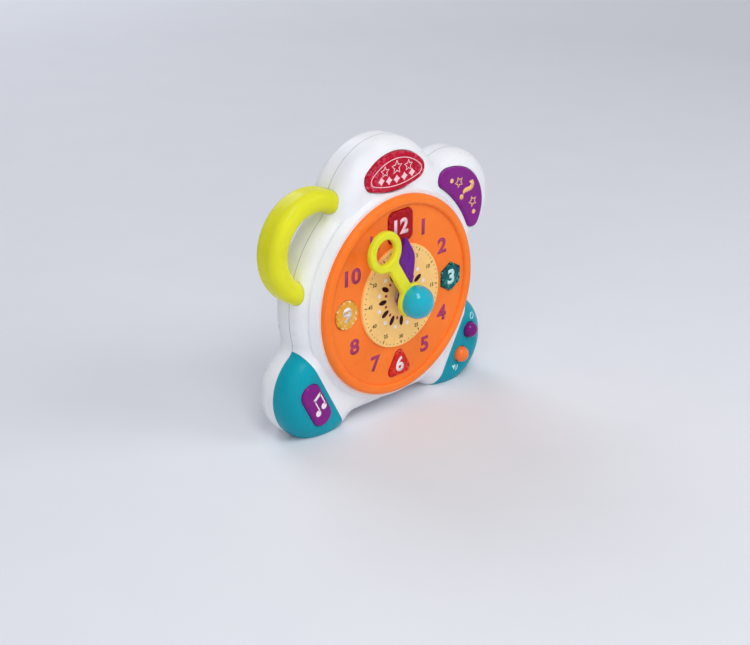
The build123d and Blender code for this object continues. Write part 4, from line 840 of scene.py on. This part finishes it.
# %% Notes on the left foot
FOOT_KEY_OUT = 12.5
NOTE_HEAD = 2.4
NOTE_STEM = 0.9
NOTE_BEAM = 2.2
note = on_foot(-1, 0.0, FOOT_KEY_OUT, KEY_DEPTH)
note_signs = [
    flat_shape(dot((-2.6, -5.2), NOTE_HEAD), note),
    flat_shape(dot((4.0, -3.8), NOTE_HEAD), note),
    printed_line([(-0.7, -5.2), (-0.7, 6.0)], NOTE_STEM, white_ink, note),
    printed_line([(5.9, -3.8), (5.9, 7.4)], NOTE_STEM, white_ink, note),
    printed_line([(-1.1, 5.6), (6.3, 7.2)], NOTE_BEAM, white_ink, note),
]
piece("left_foot_signs", note_signs, white_ink, "foot_key")

# %% [markdown]
# The clock stands on a wide sheet of pale paper. Paper that is lit only near the clock turns
# grey far away, and more light would bleach the plastic. So the far paper glows a little,
# but only for what the camera sees, directly or in gloss, and never as light on the clock.

# %% Paper floor
FLOOR_HALF = 9.0
FIBRE_MM = 60.0
FAR_GLOW = 0.38
GLOW_FROM = 1.1
GLOW_FULL = 3.0
PALE = "#F6F8FC"


def looked_at(tree):
    """One where the camera sees this, directly or in gloss or glass, and nought for lighting."""
    path = add(tree, "ShaderNodeLightPath").outputs
    seen = path["Is Camera Ray"]
    for ray in ("Is Glossy Ray", "Is Transmission Ray"):
        seen = add(tree, "ShaderNodeMath", {0: seen, 1: path[ray]}, operation="MAXIMUM").outputs[0]
    return seen


corners = [(-1, -1), (1, -1), (1, 1), (-1, 1)]
floor_mesh = bpy.data.meshes.new("floor")
floor_mesh.from_pydata(
    [(x * FLOOR_HALF, y * FLOOR_HALF, 0.0) for x, y in corners], [], [(0, 1, 2, 3)])
floor = bpy.data.objects.new("floor", floor_mesh)
bpy.context.scene.collection.objects.link(floor)
floor_paper, tree = empty_material("paper_studio_floor")
place = add(tree, "ShaderNodeTexCoord").outputs["Object"]
fibre = add(tree, "ShaderNodeTexNoise", {
    "Vector": place, "Scale": per_mm(FIBRE_MM), "Detail": 2.0})
tone = add(tree, "ShaderNodeMix", {
    0: fibre.outputs["Fac"], 6: linear("#E6E8EE"), 7: linear("#E2E4EB")}, data_type="RGBA")
paper = add(tree, "ShaderNodeBsdfPrincipled", {"Base Color": tone.outputs[2], "Roughness": 0.85})
away = add(tree, "ShaderNodeVectorMath", {0: place}, operation="LENGTH").outputs["Value"]
far = add(tree, "ShaderNodeMapRange", {
    "Value": away, "From Min": GLOW_FROM, "From Max": GLOW_FULL, "To Max": FAR_GLOW})
glow = add(tree, "ShaderNodeMath", {0: looked_at(tree), 1: far.outputs[0]}, operation="MULTIPLY")
pale = add(tree, "ShaderNodeEmission", {"Color": linear(PALE), "Strength": glow.outputs[0]})
both = add(tree, "ShaderNodeAddShader", {0: paper.outputs[0], 1: pale.outputs[0]})
add(tree, "ShaderNodeOutputMaterial", {"Surface": both.outputs[0]})
floor_mesh.materials.append(floor_paper)
print("the floor is", 2 * FLOOR_HALF, "m wide")

# %% [markdown]
# Soft lamps keep every colour close to how it is written. The lamp on the right throws the
# soft shadows of the hands to the left, and the wide one on the left fills them. These two
# stay out of the gloss, where they would lie on the plastic like a veil, so the tall narrow
# lamp above makes the one highlight on the ball. A fourth lamp lights the back.

# %% Lamps
MIDDLE = (0.0, 0.0, 0.1)


def softbox(name, place, width, height, power, colour="#FFFFFF", mirrored=False):
    """A flat lamp that faces the clock. Only a mirrored one shows in the gloss."""
    lamp = bpy.data.lights.new(name, "AREA")
    lamp.shape = "RECTANGLE"
    lamp.size = width
    lamp.size_y = height
    lamp.energy = power
    lamp.color = linear(colour)[:3]
    box = bpy.data.objects.new(name, lamp)
    box.location = place
    box.rotation_euler = (Vector(MIDDLE) - Vector(place)).to_track_quat("-Z", "Y").to_euler()
    box.visible_glossy = mirrored
    bpy.context.scene.collection.objects.link(box)
    print(name, "gives", power, "W")


softbox("key_light", (0.9, -1.25, 1.15), 1.0, 1.0, 10.6)
softbox("side_light", (-1.3, -1.1, 0.6), 1.8, 1.8, 13.6)
softbox("ball_light", (-0.36, -0.62, 1.38), 0.5, 0.95, 7.6, mirrored=True)
softbox("back_light", (0.4, 1.75, 1.35), 1.2, 1.2, 14.0, "#F4F7FF", mirrored=True)

# %% [markdown]
# A dim even sky fills what the lamps leave dark. It is paler for the camera by as much as
# the far paper is, which hides the horizon.

# %% Sky
SKY_LEVEL = 0.26
world = bpy.data.worlds.new("studio_sky")
world.use_nodes = True
tree = world.node_tree
tree.nodes.clear()
level = add(tree, "ShaderNodeMapRange", {
    "Value": looked_at(tree), "To Min": SKY_LEVEL, "To Max": SKY_LEVEL + FAR_GLOW})
sky = add(tree, "ShaderNodeBackground", {"Color": linear(PALE), "Strength": level.outputs[0]})
add(tree, "ShaderNodeOutputWorld", {"Surface": sky.outputs[0]})
bpy.context.scene.world = world
bpy.context.scene.view_settings.view_transform = "Standard"
print("the sky lights at", SKY_LEVEL, "and shows at", SKY_LEVEL + FAR_GLOW)

# %% [markdown]
# The camera stands to the left of the clock and above it, with a long lens, so the dial is a
# narrow oval and the ball hides part of the plate. A camera can be aimed by a constraint,
# but its place and turn are known here, so they are written down.

# %% Camera
lens = bpy.data.cameras.new("camera")
lens.sensor_fit = "HORIZONTAL"
lens.sensor_width = 36.0
lens.lens = 86.78
lens.clip_start = 0.05
camera = bpy.data.objects.new("camera", lens)
camera.location = (-0.83735, -0.82943, 0.57321)
camera.rotation_euler = [math.radians(turn) for turn in (66.7, -0.212, -44.614)]
bpy.context.scene.collection.objects.link(camera)
bpy.context.scene.camera = camera
print("the camera stands", round(camera.location.length, 2), "m away")
